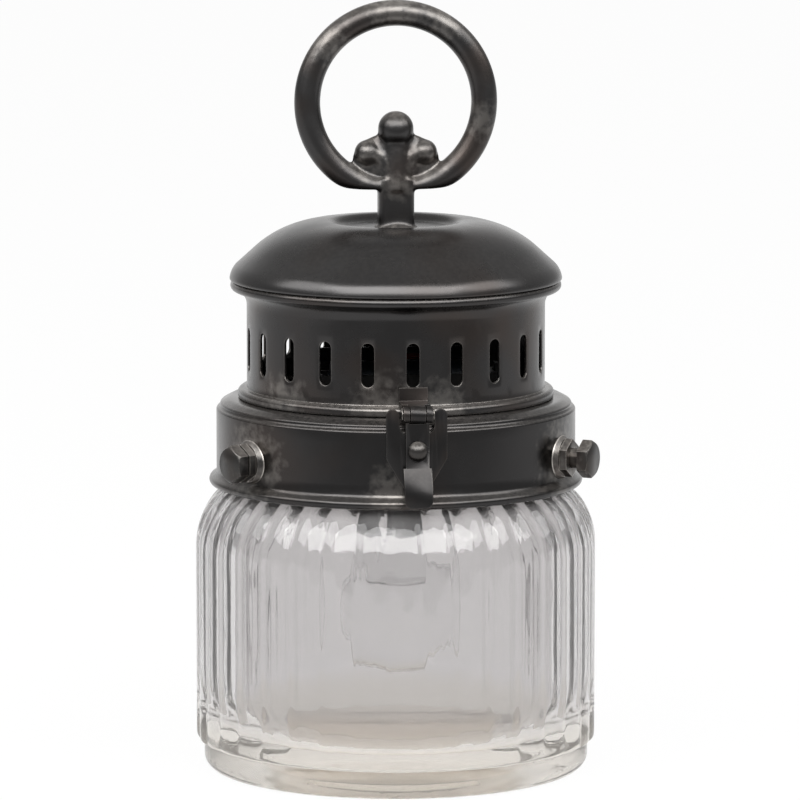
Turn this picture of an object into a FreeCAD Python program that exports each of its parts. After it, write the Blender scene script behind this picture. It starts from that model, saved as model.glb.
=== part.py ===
import FreeCAD, Part
import math
import os
import Sketcher

Vector = FreeCAD.Vector
Rotation = FreeCAD.Rotation

# Driving dimensions: millimetres, degrees or counts. The lantern stands on z = 0 and its latch faces -Y.
SIZES = {
    # Reeded glass jar
    "jar_radius": 60.3,
    "reed_count": 36,
    "reed_height": 1.7,
    "reed_turn": -3.5,
    "reed_nose": 3.4,
    "nose_inset": 0.4,
    "jar_wall": 2.8,
    "foot_inset": 2.3,
    "foot_height": 8.7,
    "foot_edge": 4.2,
    "foot_rise": 0.85,
    "push_up_inset": 22.0,
    "push_up_depth": 1.0,
    "floor_height": 7.0,
    "floor_corner": 12.0,
    "shoulder_start": 68.0,
    "shoulder_radius": 22.5,
    "shoulder_inset": 10.8,
    "neck_wall": 4.0,
    "lip_reach": 1.8,
    "lip_height": 4.6,
    # Sheet collar that grips the jar's neck
    "collar_sheet": 1.2,
    "collar_gap": 4.5,
    "collar_clear": 1.63,
    "collar_height": 26.2,
    "collar_shoulder": 4.4,
    "tap_land": 3.6,
    "bead_reach": 2.2,
    "bead_roll": 1.4,
    "flare_roll": 5.0,
    "gasket_thickness": 2.0,
    # Three clamp screws in weld nuts
    "screw_lift": 10.7,
    "screw_radius": 3.0,
    "screw_tip_gap": 0.3,
    "screw_flats": 10.0,
    "screw_head": 3.7,
    "screw_chamfer": 0.3,
    "screw_head_gap": 0.4,
    "screw_long_gap": 3.2,
    "thread_gap": 0.08,
    "nut_flats": 10.0,
    "nut_thickness": 3.4,
    "boss_radius": 7.2,
    "boss_thickness": 1.1,
    # Hinged lid: vented gallery and spun dome
    "lid_gap": 0.2,
    "lid_inset": 9.2,
    "gallery_sheet": 0.9,
    "lid_flange_reach": 2.7,
    "lid_flange_roll": 1.4,
    "lid_cove": 0.6,
    "slot_count": 21,
    "slot_width": 3.8,
    "slot_length": 13.0,
    "slot_lift": 14.9,
    "gallery_height": 27.8,
    "cove_radius": 6.85,
    "cove_reach": 4.4,
    "dome_sheet": 1.0,
    "dome_overhang": 5.2,
    "dome_rim_roll": 3.2,
    "dome_rim_lip": 1.46,
    "dome_radius": 32.3,
    "dome_sweep": 43.0,
    "crest_inset": 23.8,
    "dome_seat": 0.75,
    "dish_radius": 15.5,
    "dish_depth": 2.1,
    # Cast ring handle
    "ring_lift": 38.5,
    "ring_radius": 26.7,
    "ring_wire": 3.7,
    "ring_flat": 27.0,
    "post_width": 10.8,
    "post_depth": 8.4,
    "post_corner": 2.6,
    "post_height": 15.3,
    "post_foot_radius": 7.0,
    "post_foot_height": 1.6,
    "bud_radius": 4.95,
    "bud_drop": 8.7,
    "bud_neck": 2.3,
    "bud_neck_top": 4.0,
    "curl_radius": 6.4,
    "curl_wire": 2.5,
    "curl_sweep": 80.0,
    "curl_side": 9.0,
    "curl_drop": 22.4,
    "curl_bud_radius": 3.7,
    "curl_bud_side": 8.6,
    "curl_bud_drop": 16.0,
    "web_half_width": 13.2,
    "web_half_height": 8.5,
    "web_half_depth": 2.4,
    "web_drop": 18.2,
    "stud_radius": 3.0,
    "stud_length": 9.5,
    "stud_gap": 0.15,
    "washer_radius": 7.5,
    "washer_thickness": 1.0,
    "handle_nut_thickness": 5.0,
    # Rear hinge and front latch
    "leaf_sheet": 1.1,
    "pin_radius": 1.3,
    "pin_gap": 0.08,
    "pin_head_radius": 1.9,
    "pin_head": 0.5,
    "hinge_rise": 2.3,
    "hinge_width": 14.0,
    "hinge_middle": 5.6,
    "hinge_leaf_drop": 7.8,
    "leaf_tab": 4.0,
    "knuckle_gap": 0.2,
    "latch_width": 8.6,
    "latch_middle": 4.6,
    "plate_half_width": 9.0,
    "plate_sheet": 1.2,
    "plate_lift": 6.2,
    "plate_foot_half": 3.6,
    "plate_taper_rise": 8.9,
    "plate_ear_rise": 1.3,
    "ear_gap": 0.35,
    "notch_drop": 6.3,
    "notch_corner": 3.0,
    "hasp_gap": 0.45,
    "hasp_sheet": 1.1,
    "hasp_width": 7.0,
    "hasp_bend_drop": 15.9,
    "hasp_kick": 3.3,
    "hasp_lip_lift": 6.4,
    "hasp_tail_lift": 1.2,
    "tail_width": 8.4,
    "tail_corner": 2.2,
    "knob_radius": 2.95,
    "knob_drop": 10.8,
    "knob_rise": 2.7,
    "knob_land": 0.5,
    "knob_shank": 1.5,
    # Lamp plate, lamp holder and globe bulb
    "lamp_plate_gap": 0.6,
    "lamp_plate_sheet": 1.0,
    "plate_screw_inset": 2.7,
    "plate_screw_radius": 1.5,
    "plate_screw_head": 2.7,
    "plate_screw_head_height": 1.8,
    "plate_screw_length": 4.0,
    "nipple_radius": 5.0,
    "nipple_bore": 2.5,
    "nipple_length": 5.0,
    "holder_nut_flats": 14.0,
    "holder_nut_thickness": 2.8,
    "holder_flange_radius": 13.0,
    "holder_flange": 2.0,
    "holder_radius": 11.0,
    "holder_length": 24.6,
    "holder_roof": 6.0,
    "cap_radius": 7.0,
    "cap_gap": 0.3,
    "cap_height": 16.0,
    "cap_contact_radius": 3.0,
    "cap_contact_height": 1.6,
    "bulb_base_radius": 9.6,
    "bulb_base_length": 16.5,
    "bulb_base_gap": 0.5,
    "globe_radius": 19.5,
    "globe_drop": 23.5,
    "globe_wall": 0.8,
    "globe_neck_radius": 10.4,
    "globe_neck_blend": 6.0,
    "guide_radius": 9.1,
    "guide_length": 15.5,
    "guide_corner": 1.5,
    "guide_dimple_radius": 5.0,
    "guide_dimple_depth": 3.0,
    # Two cells in an open holder, a slide switch and the leads
    "cell_radius": 5.2,
    "cell_length": 43.5,
    "cell_tip_radius": 1.9,
    "cell_tip": 1.0,
    "cell_gap": 0.3,
    "box_wall": 1.2,
    "box_near": 9.0,
    "box_height": 8.4,
    "contact_sheet": 0.5,
    "contact_width": 7.0,
    "contact_bow": 1.5,
    "contact_bow_length": 3.0,
    "contact_flat": 1.4,
    "switch_length": 13.0,
    "switch_depth": 7.0,
    "switch_height": 6.5,
    "switch_gap": 2.0,
    "switch_slot_depth": 3.0,
    "thumb_length": 4.0,
    "thumb_width": 2.8,
    "thumb_rise": 2.6,
    "thumb_travel": 4.0,
    "thumb_gap": 0.25,
    "lead_radius": 0.7,
    "lead_height": 3.2,
    "lead_bend": 3.0,
    "lead_side": 20.0,
    "lead_feed": 4.5,
    "lead_apart": 1.1,
    "lead_rise": 6.0,
    "lead_entry": 3.0,
    "lead_lamp_turn": 16.0,
    "lead_back_turn": 12.0,
}

doc = FreeCAD.newDocument("Lantern")
sheet = doc.addObject("Spreadsheet::Sheet", "Sizes")
for row, (alias, number) in enumerate(SIZES.items(), start=1):
    sheet.set(f"A{row}", alias)
    sheet.set(f"B{row}", str(number))
    sheet.setAlias(f"B{row}", alias)
doc.recompute()


class Dim:
    """A size that knows its present number and the sheet expression that drives it."""

    def __init__(self, value, text):
        self.value = float(value)
        self.text = text

    def __add__(self, other):
        return joined(self, "+", other, self.value + number_of(other))

    def __radd__(self, other):
        return joined(other, "+", self, number_of(other) + self.value)

    def __sub__(self, other):
        return joined(self, "-", other, self.value - number_of(other))

    def __rsub__(self, other):
        return joined(other, "-", self, number_of(other) - self.value)

    def __mul__(self, other):
        return joined(self, "*", other, self.value * number_of(other))

    def __rmul__(self, other):
        return joined(other, "*", self, number_of(other) * self.value)

    def __truediv__(self, other):
        return joined(self, "/", other, self.value / number_of(other))

    def __neg__(self):
        return self * -1


def number_of(size):
    return size.value if isinstance(size, Dim) else float(size)


def text_of(size):
    return size.text if isinstance(size, Dim) else f"({float(size)!r})"


def joined(first, sign, second, value):
    return Dim(value, f"({text_of(first)} {sign} {text_of(second)})")


def root(size):
    return Dim(math.sqrt(size.value), f"sqrt({size.text})")


def sine(angle):
    return Dim(math.sin(math.radians(angle.value)), f"sin({angle.text} * 1 deg)")


def cosine(angle):
    return Dim(math.cos(math.radians(angle.value)), f"cos({angle.text} * 1 deg)")


class Sheet:
    """Reads every aliased cell as a Dim attribute."""

    def __getattr__(self, alias):
        return Dim(sheet.get(alias), f"Sizes.{alias}")


S = Sheet()
CIRCLE = 360
ROOT_THREE = math.sqrt(3)
TINY = 1e-6
LOFT_STEPS = 5
THIRDS = (90, 210, 330)
UP = Vector(0, 0, 1)

# Radii that follow the jar, from its wall inwards
foot_radius = S.jar_radius - S.foot_inset
push_up_radius = foot_radius - S.push_up_inset
shoulder_centre = S.jar_radius - S.shoulder_radius
neck_radius = S.jar_radius - S.shoulder_inset
neck_bore = neck_radius - S.neck_wall
collar_radius = neck_radius + S.collar_gap
collar_bore = collar_radius - S.collar_sheet
bead_radius = collar_radius + S.bead_reach
gallery_radius = collar_radius - S.lid_inset
gallery_bore = gallery_radius - S.gallery_sheet
lid_flange_radius = gallery_radius + S.lid_flange_reach
dome_rim_radius = gallery_radius + S.dome_overhang
crest_radius = gallery_radius - S.crest_inset
lamp_plate_radius = gallery_bore - S.lamp_plate_gap
plate_screw_circle = lamp_plate_radius - S.plate_screw_inset
collar_opening = plate_screw_circle - S.tap_land

# Levels of the collar and of what sits on it, from the jar's shoulder up
bore_offset = collar_bore - shoulder_centre
bore_level = root(S.shoulder_radius * S.shoulder_radius - bore_offset * bore_offset)
collar_bottom = S.shoulder_start + bore_level + S.collar_clear
collar_top = collar_bottom + S.collar_height
gasket_top = collar_top - S.collar_sheet
rim_height = gasket_top - S.gasket_thickness
screw_height = collar_bottom + S.screw_lift
plate_top = collar_top + S.lamp_plate_sheet
lid_bottom = collar_top + S.lid_gap
flange_top = lid_bottom + S.lid_flange_roll * 2
slot_middle = lid_bottom + S.slot_lift
cove_start = lid_bottom + S.gallery_height

# Levels of the dome and of the handle on its crown
cove_drop = S.cove_radius - S.cove_reach
cove_rise = root(S.cove_radius * S.cove_radius - cove_drop * cove_drop)
sin_sweep = sine(S.dome_sweep)
cos_sweep = cosine(S.dome_sweep)
dome_lip = cove_start + cove_rise + S.dome_seat
dome_roll = dome_lip + S.dome_rim_lip
rim_middle = dome_rim_radius - S.dome_rim_roll
dome_run = rim_middle + S.dome_rim_roll * sin_sweep - crest_radius - S.dome_radius * sin_sweep
slope_top = dome_roll + S.dome_rim_roll * cos_sweep + dome_run * sin_sweep / cos_sweep
crest_height = slope_top + S.dome_radius * (1 - cos_sweep)
dish_height = crest_height - S.dish_depth
post_top = dish_height + S.post_height
ring_middle = dish_height + S.ring_lift
bud_height = ring_middle - S.bud_drop
curl_height = ring_middle - S.curl_drop
curl_bud_height = ring_middle - S.curl_bud_drop
web_height = ring_middle - S.web_drop

# Hinge and latch, from their shared pivot level
hinge_height = collar_top + S.hinge_rise
hinge_leaf_bottom = collar_top - S.hinge_leaf_drop
knuckle_radius = S.pin_radius + S.pin_gap + S.leaf_sheet
hinge_reach = collar_radius + knuckle_radius
plate_face = collar_radius + S.plate_sheet
plate_bottom = collar_bottom + S.plate_lift
plate_taper = plate_bottom + S.plate_taper_rise
plate_ear_top = hinge_height + S.plate_ear_rise
notch_bottom = hinge_height - S.notch_drop
notch_half = S.latch_width / 2 + S.pin_head + S.ear_gap
hasp_back = plate_face + S.hasp_gap
hasp_front = hasp_back + S.hasp_sheet
hasp_bend = hinge_height - S.hasp_bend_drop
hasp_lip_top = collar_bottom + S.hasp_lip_lift
hasp_bottom = collar_bottom + S.hasp_tail_lift
knob_height = hinge_height - S.knob_drop

# Lamp and cells, hung from the lamp plate or standing on it
holder_bottom = collar_top - S.holder_length
bulb_base_bottom = holder_bottom - S.bulb_base_length
globe_middle = bulb_base_bottom - S.globe_drop
guide_bottom = bulb_base_bottom - S.guide_length
cell_bay = S.cell_length + S.cell_tip + (S.contact_bow + S.contact_sheet) * 2
box_length = cell_bay + S.box_wall * 2
box_depth = (S.cell_radius + S.cell_gap + S.box_wall) * 2
switch_near = box_length / 2 + S.switch_gap
through = crest_height * 2


def bind(obj, prop, size):
    """Drive a property from the sheet, or set it once where it is a plain number."""
    obj.setExpression(prop, text_of(size))


def new_body(name):
    body = doc.addObject("PartDesign::Body", name)
    body.Label = name
    return body


def origin_of(body, role):
    return next(feature for feature in body.Origin.OriginFeatures if feature.Role == role)


def sketch_on(body, name, role):
    sketch = body.newObject("Sketcher::SketchObject", name)
    sketch.AttachmentSupport = (origin_of(body, role), [""])
    sketch.MapMode = "FlatFace"
    return sketch


def constrain(sketch, size, kind, *where):
    index = sketch.addConstraint(Sketcher.Constraint(kind, *where, number_of(size)))
    sketch.setExpression(f"Constraints[{index}]", text_of(size))


def pin(sketch, geometry, position, x, y):
    """Hold a sketch point at x, y from the origin, whatever the signs."""
    for axis, kind, size in ((-2, "DistanceX", x), (-1, "DistanceY", y)):
        if abs(number_of(size)) < TINY:
            sketch.addConstraint(Sketcher.Constraint("PointOnObject", geometry, position, axis))
        elif number_of(size) > 0:
            constrain(sketch, size, kind, -1, 1, geometry, position)
        else:
            constrain(sketch, size * -1, kind, geometry, position, -1, 1)


def arc_between(start, end, radius):
    """Arc under a half circle from start to end; a positive radius turns left."""
    chord = end - start
    left = Vector(-chord.y, chord.x, 0).normalize()
    rise = math.sqrt(max(radius * radius - chord.Length ** 2 / 4, 0))
    centre = (start + end) / 2 + left * math.copysign(rise, radius)
    first, last = (start, end) if radius > 0 else (end, start)
    angles = [math.atan2(p.y - centre.y, p.x - centre.x) for p in (first, last)]
    return Part.ArcOfCircle(Part.Circle(centre, UP, abs(radius)), *angles)


def draw(sketch, corners):
    """Closed outline. A corner's third value is the signed radius of the arc that arrives there."""
    points = [Vector(number_of(c[0]), number_of(c[1]), 0) for c in corners]
    ends = []
    for i, corner in enumerate(corners):
        if len(corner) == 2:
            index = sketch.addGeometry(Part.LineSegment(points[i - 1], points[i]), False)
            ends.append((index, 1, 2))
            continue
        radius = number_of(corner[2])
        index = sketch.addGeometry(arc_between(points[i - 1], points[i], radius), False)
        ends.append((index, 1, 2) if radius > 0 else (index, 2, 1))
        constrain(sketch, corner[2] * math.copysign(1, radius), "Radius", index)
    for i, (index, _, finish) in enumerate(ends):
        following, start, _ = ends[(i + 1) % len(ends)]
        sketch.addConstraint(Sketcher.Constraint("Coincident", index, finish, following, start))
        pin(sketch, index, finish, corners[i][0], corners[i][1])


def draw_circle(sketch, x, y, radius):
    circle = Part.Circle(Vector(number_of(x), number_of(y), 0), UP, number_of(radius))
    index = sketch.addGeometry(circle, False)
    constrain(sketch, radius, "Radius", index)
    pin(sketch, index, 3, x, y)


def box_corners(x_low, x_high, y_low, y_high):
    return [(x_low, y_low), (x_high, y_low), (x_high, y_high), (x_low, y_high)]


def turned(name, corners):
    """A body of revolution about Z from an outline of (radius, height) corners."""
    body = new_body(name)
    sketch = sketch_on(body, name + "_profile", "XZ_Plane")
    draw(sketch, corners)
    turn = body.newObject("PartDesign::Revolution", name + "_turn")
    turn.Profile = sketch
    turn.ReferenceAxis = (sketch, ["V_Axis"])
    turn.Angle = CIRCLE
    doc.recompute()
    return body


def pad(body, sketch, length, middle=True):
    feature = body.newObject("PartDesign::Pad", sketch.Name + "_pad")
    feature.Profile = sketch
    feature.SideType = "Symmetric" if middle else "One side"
    bind(feature, "Length", length)
    doc.recompute()
    return feature


def pocket(body, sketch, length, middle=True, reverse=False):
    """Cut a sketch out of a body and make sure that the cut met the solid."""
    before = body.Shape.Volume
    feature = body.newObject("PartDesign::Pocket", sketch.Name + "_cut")
    feature.Profile = sketch
    feature.SideType = "Symmetric" if middle else "One side"
    feature.Reversed = reverse
    bind(feature, "Length", length)
    doc.recompute()
    if body.Shape.Volume > before - TINY:
        raise RuntimeError(f"{sketch.Name} cuts nothing")
    return feature


def pattern_round(body, feature, count):
    pattern = body.newObject("PartDesign::PolarPattern", feature.Name + "_round")
    pattern.Originals = [feature]
    pattern.Axis = (origin_of(body, "Z_Axis"), [""])
    pattern.Angle = CIRCLE
    bind(pattern, "Occurrences", count)
    body.Tip = pattern
    doc.recompute()


def fillet(body, radius, chosen):
    """Round the edges of the body's last feature that the test chooses."""
    base = body.Tip
    names = [f"Edge{i}" for i, edge in enumerate(base.Shape.Edges, start=1) if chosen(edge)]
    feature = body.newObject("PartDesign::Fillet", body.Name + f"_round{len(body.Group)}")
    feature.Base = (base, names)
    bind(feature, "Radius", radius)
    doc.recompute()


def primitive(kind, name, base=(0, 0, 0), turn=None, **sizes):
    obj = doc.addObject(kind, name)
    obj.Placement = FreeCAD.Placement(Vector(), turn or Rotation())
    for prop, size in sizes.items():
        bind(obj, prop, size)
    for axis, size in zip("xyz", base):
        if number_of(size):
            bind(obj, f"Placement.Base.{axis}", size)
    return obj


def boolean(kind, name, base, tool):
    obj = doc.addObject(kind, name)
    obj.Base = base
    obj.Tool = tool
    obj.Label = name
    return obj


def cut(name, base, tool):
    return boolean("Part::Cut", name, base, tool)


def fused(name, *shapes):
    obj = doc.addObject("Part::MultiFuse", name)
    obj.Shapes = list(shapes)
    obj.Label = name
    return obj


def grouped(name, pieces):
    obj = doc.addObject("Part::Compound", name)
    obj.Links = pieces
    obj.Label = name
    return obj


def tube(name, outer, inner, bottom, height):
    outside = primitive("Part::Cylinder", name + "_outside", (0, 0, bottom), Radius=outer, Height=height)
    inside = primitive("Part::Cylinder", name + "_bore", (0, 0, bottom), Radius=inner, Height=height)
    return cut(name, outside, inside)


def reed_ring(crest, valley, level):
    """Closed ring of arcs, one for each reed, with its crest between two valleys."""
    count = int(S.reed_count.value)
    half = math.pi / count
    start = math.radians(S.reed_turn.value) - math.pi / 2
    edges = []
    for reed in range(count):
        middle = start + 2 * half * reed
        points = [Vector(r * math.cos(a), r * math.sin(a), level)
                  for r, a in ((valley, middle - half), (crest, middle), (valley, middle + half))]
        edges.append(Part.Arc(*points).toShape())
    return Part.Wire(edges)


def jar_reeds():
    """Reeds with rounded noses at the foot, straight up the wall and converging over the shoulder."""
    crest = S.jar_radius.value
    ratio = (crest - S.reed_height.value) / crest
    foot = foot_radius.value
    low = S.foot_height.value
    nose = S.reed_nose.value
    start = S.shoulder_start.value
    centre = shoulder_centre.value
    bend = S.shoulder_radius.value
    inset = S.nose_inset.value
    ends = []
    for step in range(LOFT_STEPS + 1):
        share = step / LOFT_STEPS
        swell = math.sqrt(1 - (1 - share) ** 2)
        reach = foot - inset + (crest - foot + inset) * swell
        dip = foot - inset + (crest * ratio - foot + inset) * swell
        ends.append(reed_ring(reach, dip, low + nose * share ** 2))
    last = math.acos((neck_radius.value - centre) / bend)
    shoulder = []
    for step in range(LOFT_STEPS + 1):
        angle = last * step / LOFT_STEPS
        reach = centre + bend * math.cos(angle)
        shoulder.append(reed_ring(reach, reach * ratio, start + bend * math.sin(angle)))
    wall = Part.Face(ends[-1]).extrude(Vector(0, 0, start - low - nose))
    obj = doc.addObject("Part::Feature", "jar_reeds")
    obj.Shape = wall.fuse([Part.makeLoft(ends, True), Part.makeLoft(shoulder, True)])
    return obj


def glass_jar():
    foot_top = S.foot_height + S.foot_rise
    foot = turned("jar_foot", [
        (0, S.push_up_depth),
        (push_up_radius, S.push_up_depth),
        (push_up_radius + S.push_up_depth, 0),
        (foot_radius - S.foot_edge, 0),
        (foot_radius, S.foot_edge, S.foot_edge),
        (foot_radius, foot_top),
        (0, foot_top),
    ])
    half_lip = S.lip_height / 2
    lip_out = neck_radius + S.lip_reach
    neck = turned("jar_neck", [
        (0, S.shoulder_start),
        (neck_radius, S.shoulder_start),
        (neck_radius, rim_height - S.lip_height),
        (lip_out, rim_height - half_lip),
        (lip_out, rim_height),
        (0, rim_height),
    ])
    bore = S.jar_radius - S.reed_height - S.jar_wall
    inner_bend = bore - shoulder_centre
    bend_end = S.shoulder_start + root(inner_bend * inner_bend
                                       - (neck_bore - shoulder_centre) * (neck_bore - shoulder_centre))
    inside = turned("jar_inside", [
        (0, S.floor_height),
        (bore - S.floor_corner, S.floor_height),
        (bore, S.floor_height + S.floor_corner, S.floor_corner),
        (bore, S.shoulder_start),
        (neck_bore, bend_end, inner_bend),
        (neck_bore, rim_height + S.lip_height),
        (0, rim_height + S.lip_height),
    ])
    return cut("glass_jar", fused("jar_outside", foot, jar_reeds(), neck), inside)


def collar_band():
    """Spun sheet: rolled foot bead, plain wall, rounded shoulder and a flat inward flange."""
    roll_middle = bead_radius - S.bead_roll
    roll_height = collar_bottom + S.bead_roll
    sweep = S.flare_roll + S.bead_roll
    flare_middle = collar_radius + S.flare_roll
    offset = flare_middle - roll_middle
    flare_height = roll_height + root(sweep * sweep - offset * offset)
    share = S.flare_roll / sweep
    meet = (flare_middle + (roll_middle - flare_middle) * share,
            flare_height + (roll_height - flare_height) * share)
    shoulder_low = collar_top - S.collar_shoulder
    inner_bend = S.collar_shoulder - S.collar_sheet
    body = turned("collar_band", [
        (collar_opening, gasket_top),
        (collar_radius - S.collar_shoulder, gasket_top),
        (collar_bore, shoulder_low, inner_bend * -1),
        (collar_bore, collar_bottom),
        (roll_middle, collar_bottom),
        (bead_radius, roll_height, S.bead_roll),
        (*meet, S.bead_roll),
        (collar_radius, flare_height, S.flare_roll * -1),
        (collar_radius, shoulder_low),
        (collar_radius - S.collar_shoulder, collar_top, S.collar_shoulder),
        (collar_opening, collar_top),
    ])
    holes = sketch_on(body, "collar_screw_hole", "XZ_Plane")
    draw_circle(holes, 0, screw_height, S.screw_radius + S.thread_gap)
    pattern_round(body, pocket(body, holes, bead_radius, middle=False), len(THIRDS))
    taps = sketch_on(body, "collar_tap_hole", "XY_Plane")
    draw_circle(taps, 0, plate_screw_circle, S.plate_screw_radius + S.thread_gap)
    pattern_round(body, pocket(body, taps, through), len(THIRDS))
    return body


OUTWARD = Rotation(Vector(0, 1, 0), 90)
SCREW_ANGLES = dict(zip(("clamp_screw_rear", "clamp_screw_left", "clamp_screw_right"), THIRDS))


def hexagon(name, flats, height, base, turn):
    obj = primitive("Part::Prism", name, base, turn, Circumradius=flats / ROOT_THREE, Height=height)
    obj.Polygon = 6
    return obj


def place_round(obj, angle):
    obj.Placement = FreeCAD.Placement(Vector(), Rotation(UP, angle))
    return obj


def weld_nut(name, angle):
    """Flanged nut whose foot is shaped to the collar's wall."""
    sunk = S.collar_sheet / 2
    at = (collar_radius - sunk, 0, screw_height)
    nut = hexagon(name + "_hex", S.nut_flats, S.nut_thickness + sunk, at, OUTWARD)
    boss = primitive("Part::Cone", name + "_boss", at, OUTWARD, Radius1=S.boss_radius,
                     Radius2=S.nut_flats / ROOT_THREE, Height=S.boss_thickness + sunk)
    bore = primitive("Part::Cylinder", name + "_bore", at, OUTWARD,
                     Radius=S.screw_radius + S.thread_gap, Height=through)
    bored = cut(name + "_bored", fused(name + "_blank", nut, boss), bore)
    return place_round(cut(name, bored, doc.getObject("collar_band")), angle)


def clamp_screw(name, angle, head_gap):
    """Hexagon screw with a chamfered head; its tip stops just short of the jar's neck."""
    tip = neck_radius + S.screw_tip_gap
    head = collar_radius + S.nut_thickness + head_gap
    shank = primitive("Part::Cylinder", name + "_shank", (tip, 0, screw_height), OUTWARD,
                      Radius=S.screw_radius, Height=head - tip)
    at = (head, 0, screw_height)
    hexed = hexagon(name + "_hex", S.screw_flats, S.screw_head, at, OUTWARD)
    corner = S.screw_flats / ROOT_THREE
    chamfer = primitive("Part::Cone", name + "_chamfer", at, OUTWARD, Radius1=corner + S.screw_head,
                        Radius2=S.screw_flats / 2 - S.screw_chamfer, Height=S.screw_head)
    crown = boolean("Part::Common", name + "_head", hexed, chamfer)
    return place_round(fused(name, shank, crown), angle)


def gallery_ring():
    """Vented wall with a rolled foot flange below and a cove that meets the dome's rim above."""
    roll = S.lid_flange_roll
    cove_middle = gallery_radius + S.cove_radius
    outer_bend = S.cove_radius + S.gallery_sheet
    share = outer_bend / S.cove_radius
    body = turned("gallery_ring", [
        (gallery_bore, lid_bottom),
        (lid_flange_radius - roll, lid_bottom),
        (lid_flange_radius, lid_bottom + roll, roll),
        (lid_flange_radius - roll, flange_top, roll),
        (gallery_radius + S.lid_cove, flange_top),
        (gallery_radius, flange_top + S.lid_cove, S.lid_cove * -1),
        (gallery_radius, cove_start),
        (gallery_radius + S.cove_reach, cove_start + cove_rise, S.cove_radius * -1),
        (cove_middle - cove_drop * share, cove_start + cove_rise * share),
        (gallery_bore, cove_start, outer_bend),
    ])
    slot = sketch_on(body, "gallery_slot", "XZ_Plane")
    half = S.slot_width / 2
    top = slot_middle + S.slot_length / 2
    low = slot_middle - S.slot_length / 2
    draw(slot, [
        (half, low + half, half),
        (half, top - half),
        (0, top, half),
        (half * -1, top - half, half),
        (half * -1, low + half),
        (0, low, half),
    ])
    pattern_round(body, pocket(body, slot, dome_rim_radius, middle=False, reverse=True), S.slot_count)
    return body


def dome_cap():
    """Spun dome: shallow dish round the handle, rolled crest, long curve and a rolled rim."""
    wall = S.dome_sheet
    run = (crest_radius - S.dish_radius) / 2
    half_drop = S.dish_depth / 2
    ogee = (run * run + half_drop * half_drop) / S.dish_depth
    slope_z = 1 - half_drop / ogee
    slope_r = run / ogee
    hole = S.stud_radius + S.stud_gap
    middle = crest_height - S.dome_radius

    def dome_point(radius):
        return (crest_radius + radius * sin_sweep, middle + radius * cos_sweep)

    def rim_point(radius):
        return (rim_middle + radius * sin_sweep, dome_roll + radius * cos_sweep)

    bend_r = S.dish_radius + run
    bend_z = dish_height + half_drop
    inner_r = bend_r + wall * slope_r
    inner_z = bend_z - wall * slope_z
    return turned("dome_cap", [
        (hole, dish_height - wall),
        (S.dish_radius, dish_height - wall),
        (inner_r, inner_z, ogee + wall),
        (crest_radius, crest_height - wall, (ogee - wall) * -1),
        (*dome_point(S.dome_radius - wall), (S.dome_radius - wall) * -1),
        rim_point(S.dome_rim_roll - wall),
        (dome_rim_radius - wall, dome_roll, (S.dome_rim_roll - wall) * -1),
        (dome_rim_radius - wall, dome_lip),
        (dome_rim_radius, dome_lip),
        (dome_rim_radius, dome_roll),
        (*rim_point(S.dome_rim_roll), S.dome_rim_roll),
        dome_point(S.dome_radius),
        (crest_radius, crest_height, S.dome_radius),
        (bend_r, bend_z, ogee),
        (S.dish_radius, dish_height, ogee * -1),
        (hole, dish_height),
    ])


def ring_handle():
    """One casting: ring, flat post with a spread foot, and a three-bud finial on a thin web in the ring."""
    upright = Rotation(Vector(1, 0, 0), 90)
    circle = primitive("Part::Torus", "ring_circle", (0, 0, ring_middle), upright,
                       Radius1=S.ring_radius, Radius2=S.ring_wire)
    below = primitive("Part::Cylinder", "ring_underside", (0, 0, dish_height),
                      Radius=S.ring_radius, Height=ring_middle - S.ring_flat - dish_height)
    ring = cut("handle_ring", circle, below)
    post = new_body("handle_post")
    section = sketch_on(post, "post_section", "XY_Plane")
    x, y, corner = S.post_width / 2, S.post_depth / 2, S.post_corner
    draw(section, [
        (x - corner, y * -1),
        (x, corner - y, corner),
        (x, y - corner),
        (x - corner, y, corner),
        (corner - x, y),
        (x * -1, y - corner, corner),
        (x * -1, corner - y),
        (corner - x, y * -1, corner),
    ])
    pad(post, section, post_top - dish_height, middle=False)
    bind(post, "Placement.Base.z", dish_height)
    foot = primitive("Part::Cone", "post_foot", (0, 0, dish_height), Radius1=S.post_foot_radius,
                     Radius2=S.post_depth / 2, Height=S.post_foot_height)
    stud = primitive("Part::Cylinder", "post_stud", (0, 0, dish_height - S.stud_length),
                     Radius=S.stud_radius, Height=S.stud_length + S.post_foot_height)
    neck_low = ring_middle - S.ring_radius
    pieces = [
        ring, post, foot, stud,
        primitive("Part::Ellipsoid", "web", (0, 0, web_height), Radius1=S.web_half_height,
                  Radius2=S.web_half_width, Radius3=S.web_half_depth),
        primitive("Part::Sphere", "bud", (0, 0, bud_height), Radius=S.bud_radius),
        primitive("Part::Cone", "bud_neck", (0, 0, neck_low), Radius1=S.bud_neck,
                  Radius2=S.bud_neck_top, Height=bud_height - neck_low - S.bud_radius / 2),
    ]
    for name, side, turn in (("left", -1, upright), ("right", 1, Rotation(UP, 180) * upright)):
        curl = primitive("Part::Torus", f"curl_{name}", (S.curl_side * side, 0, curl_height), turn,
                         Radius1=S.curl_radius, Radius2=S.curl_wire, Angle3=S.curl_sweep)
        pieces.append(curl)
        pieces.append(primitive("Part::Sphere", f"curl_bud_{name}",
                                (S.curl_bud_side * side, 0, curl_bud_height), Radius=S.curl_bud_radius))
    return fused("ring_handle", *pieces)


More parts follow.
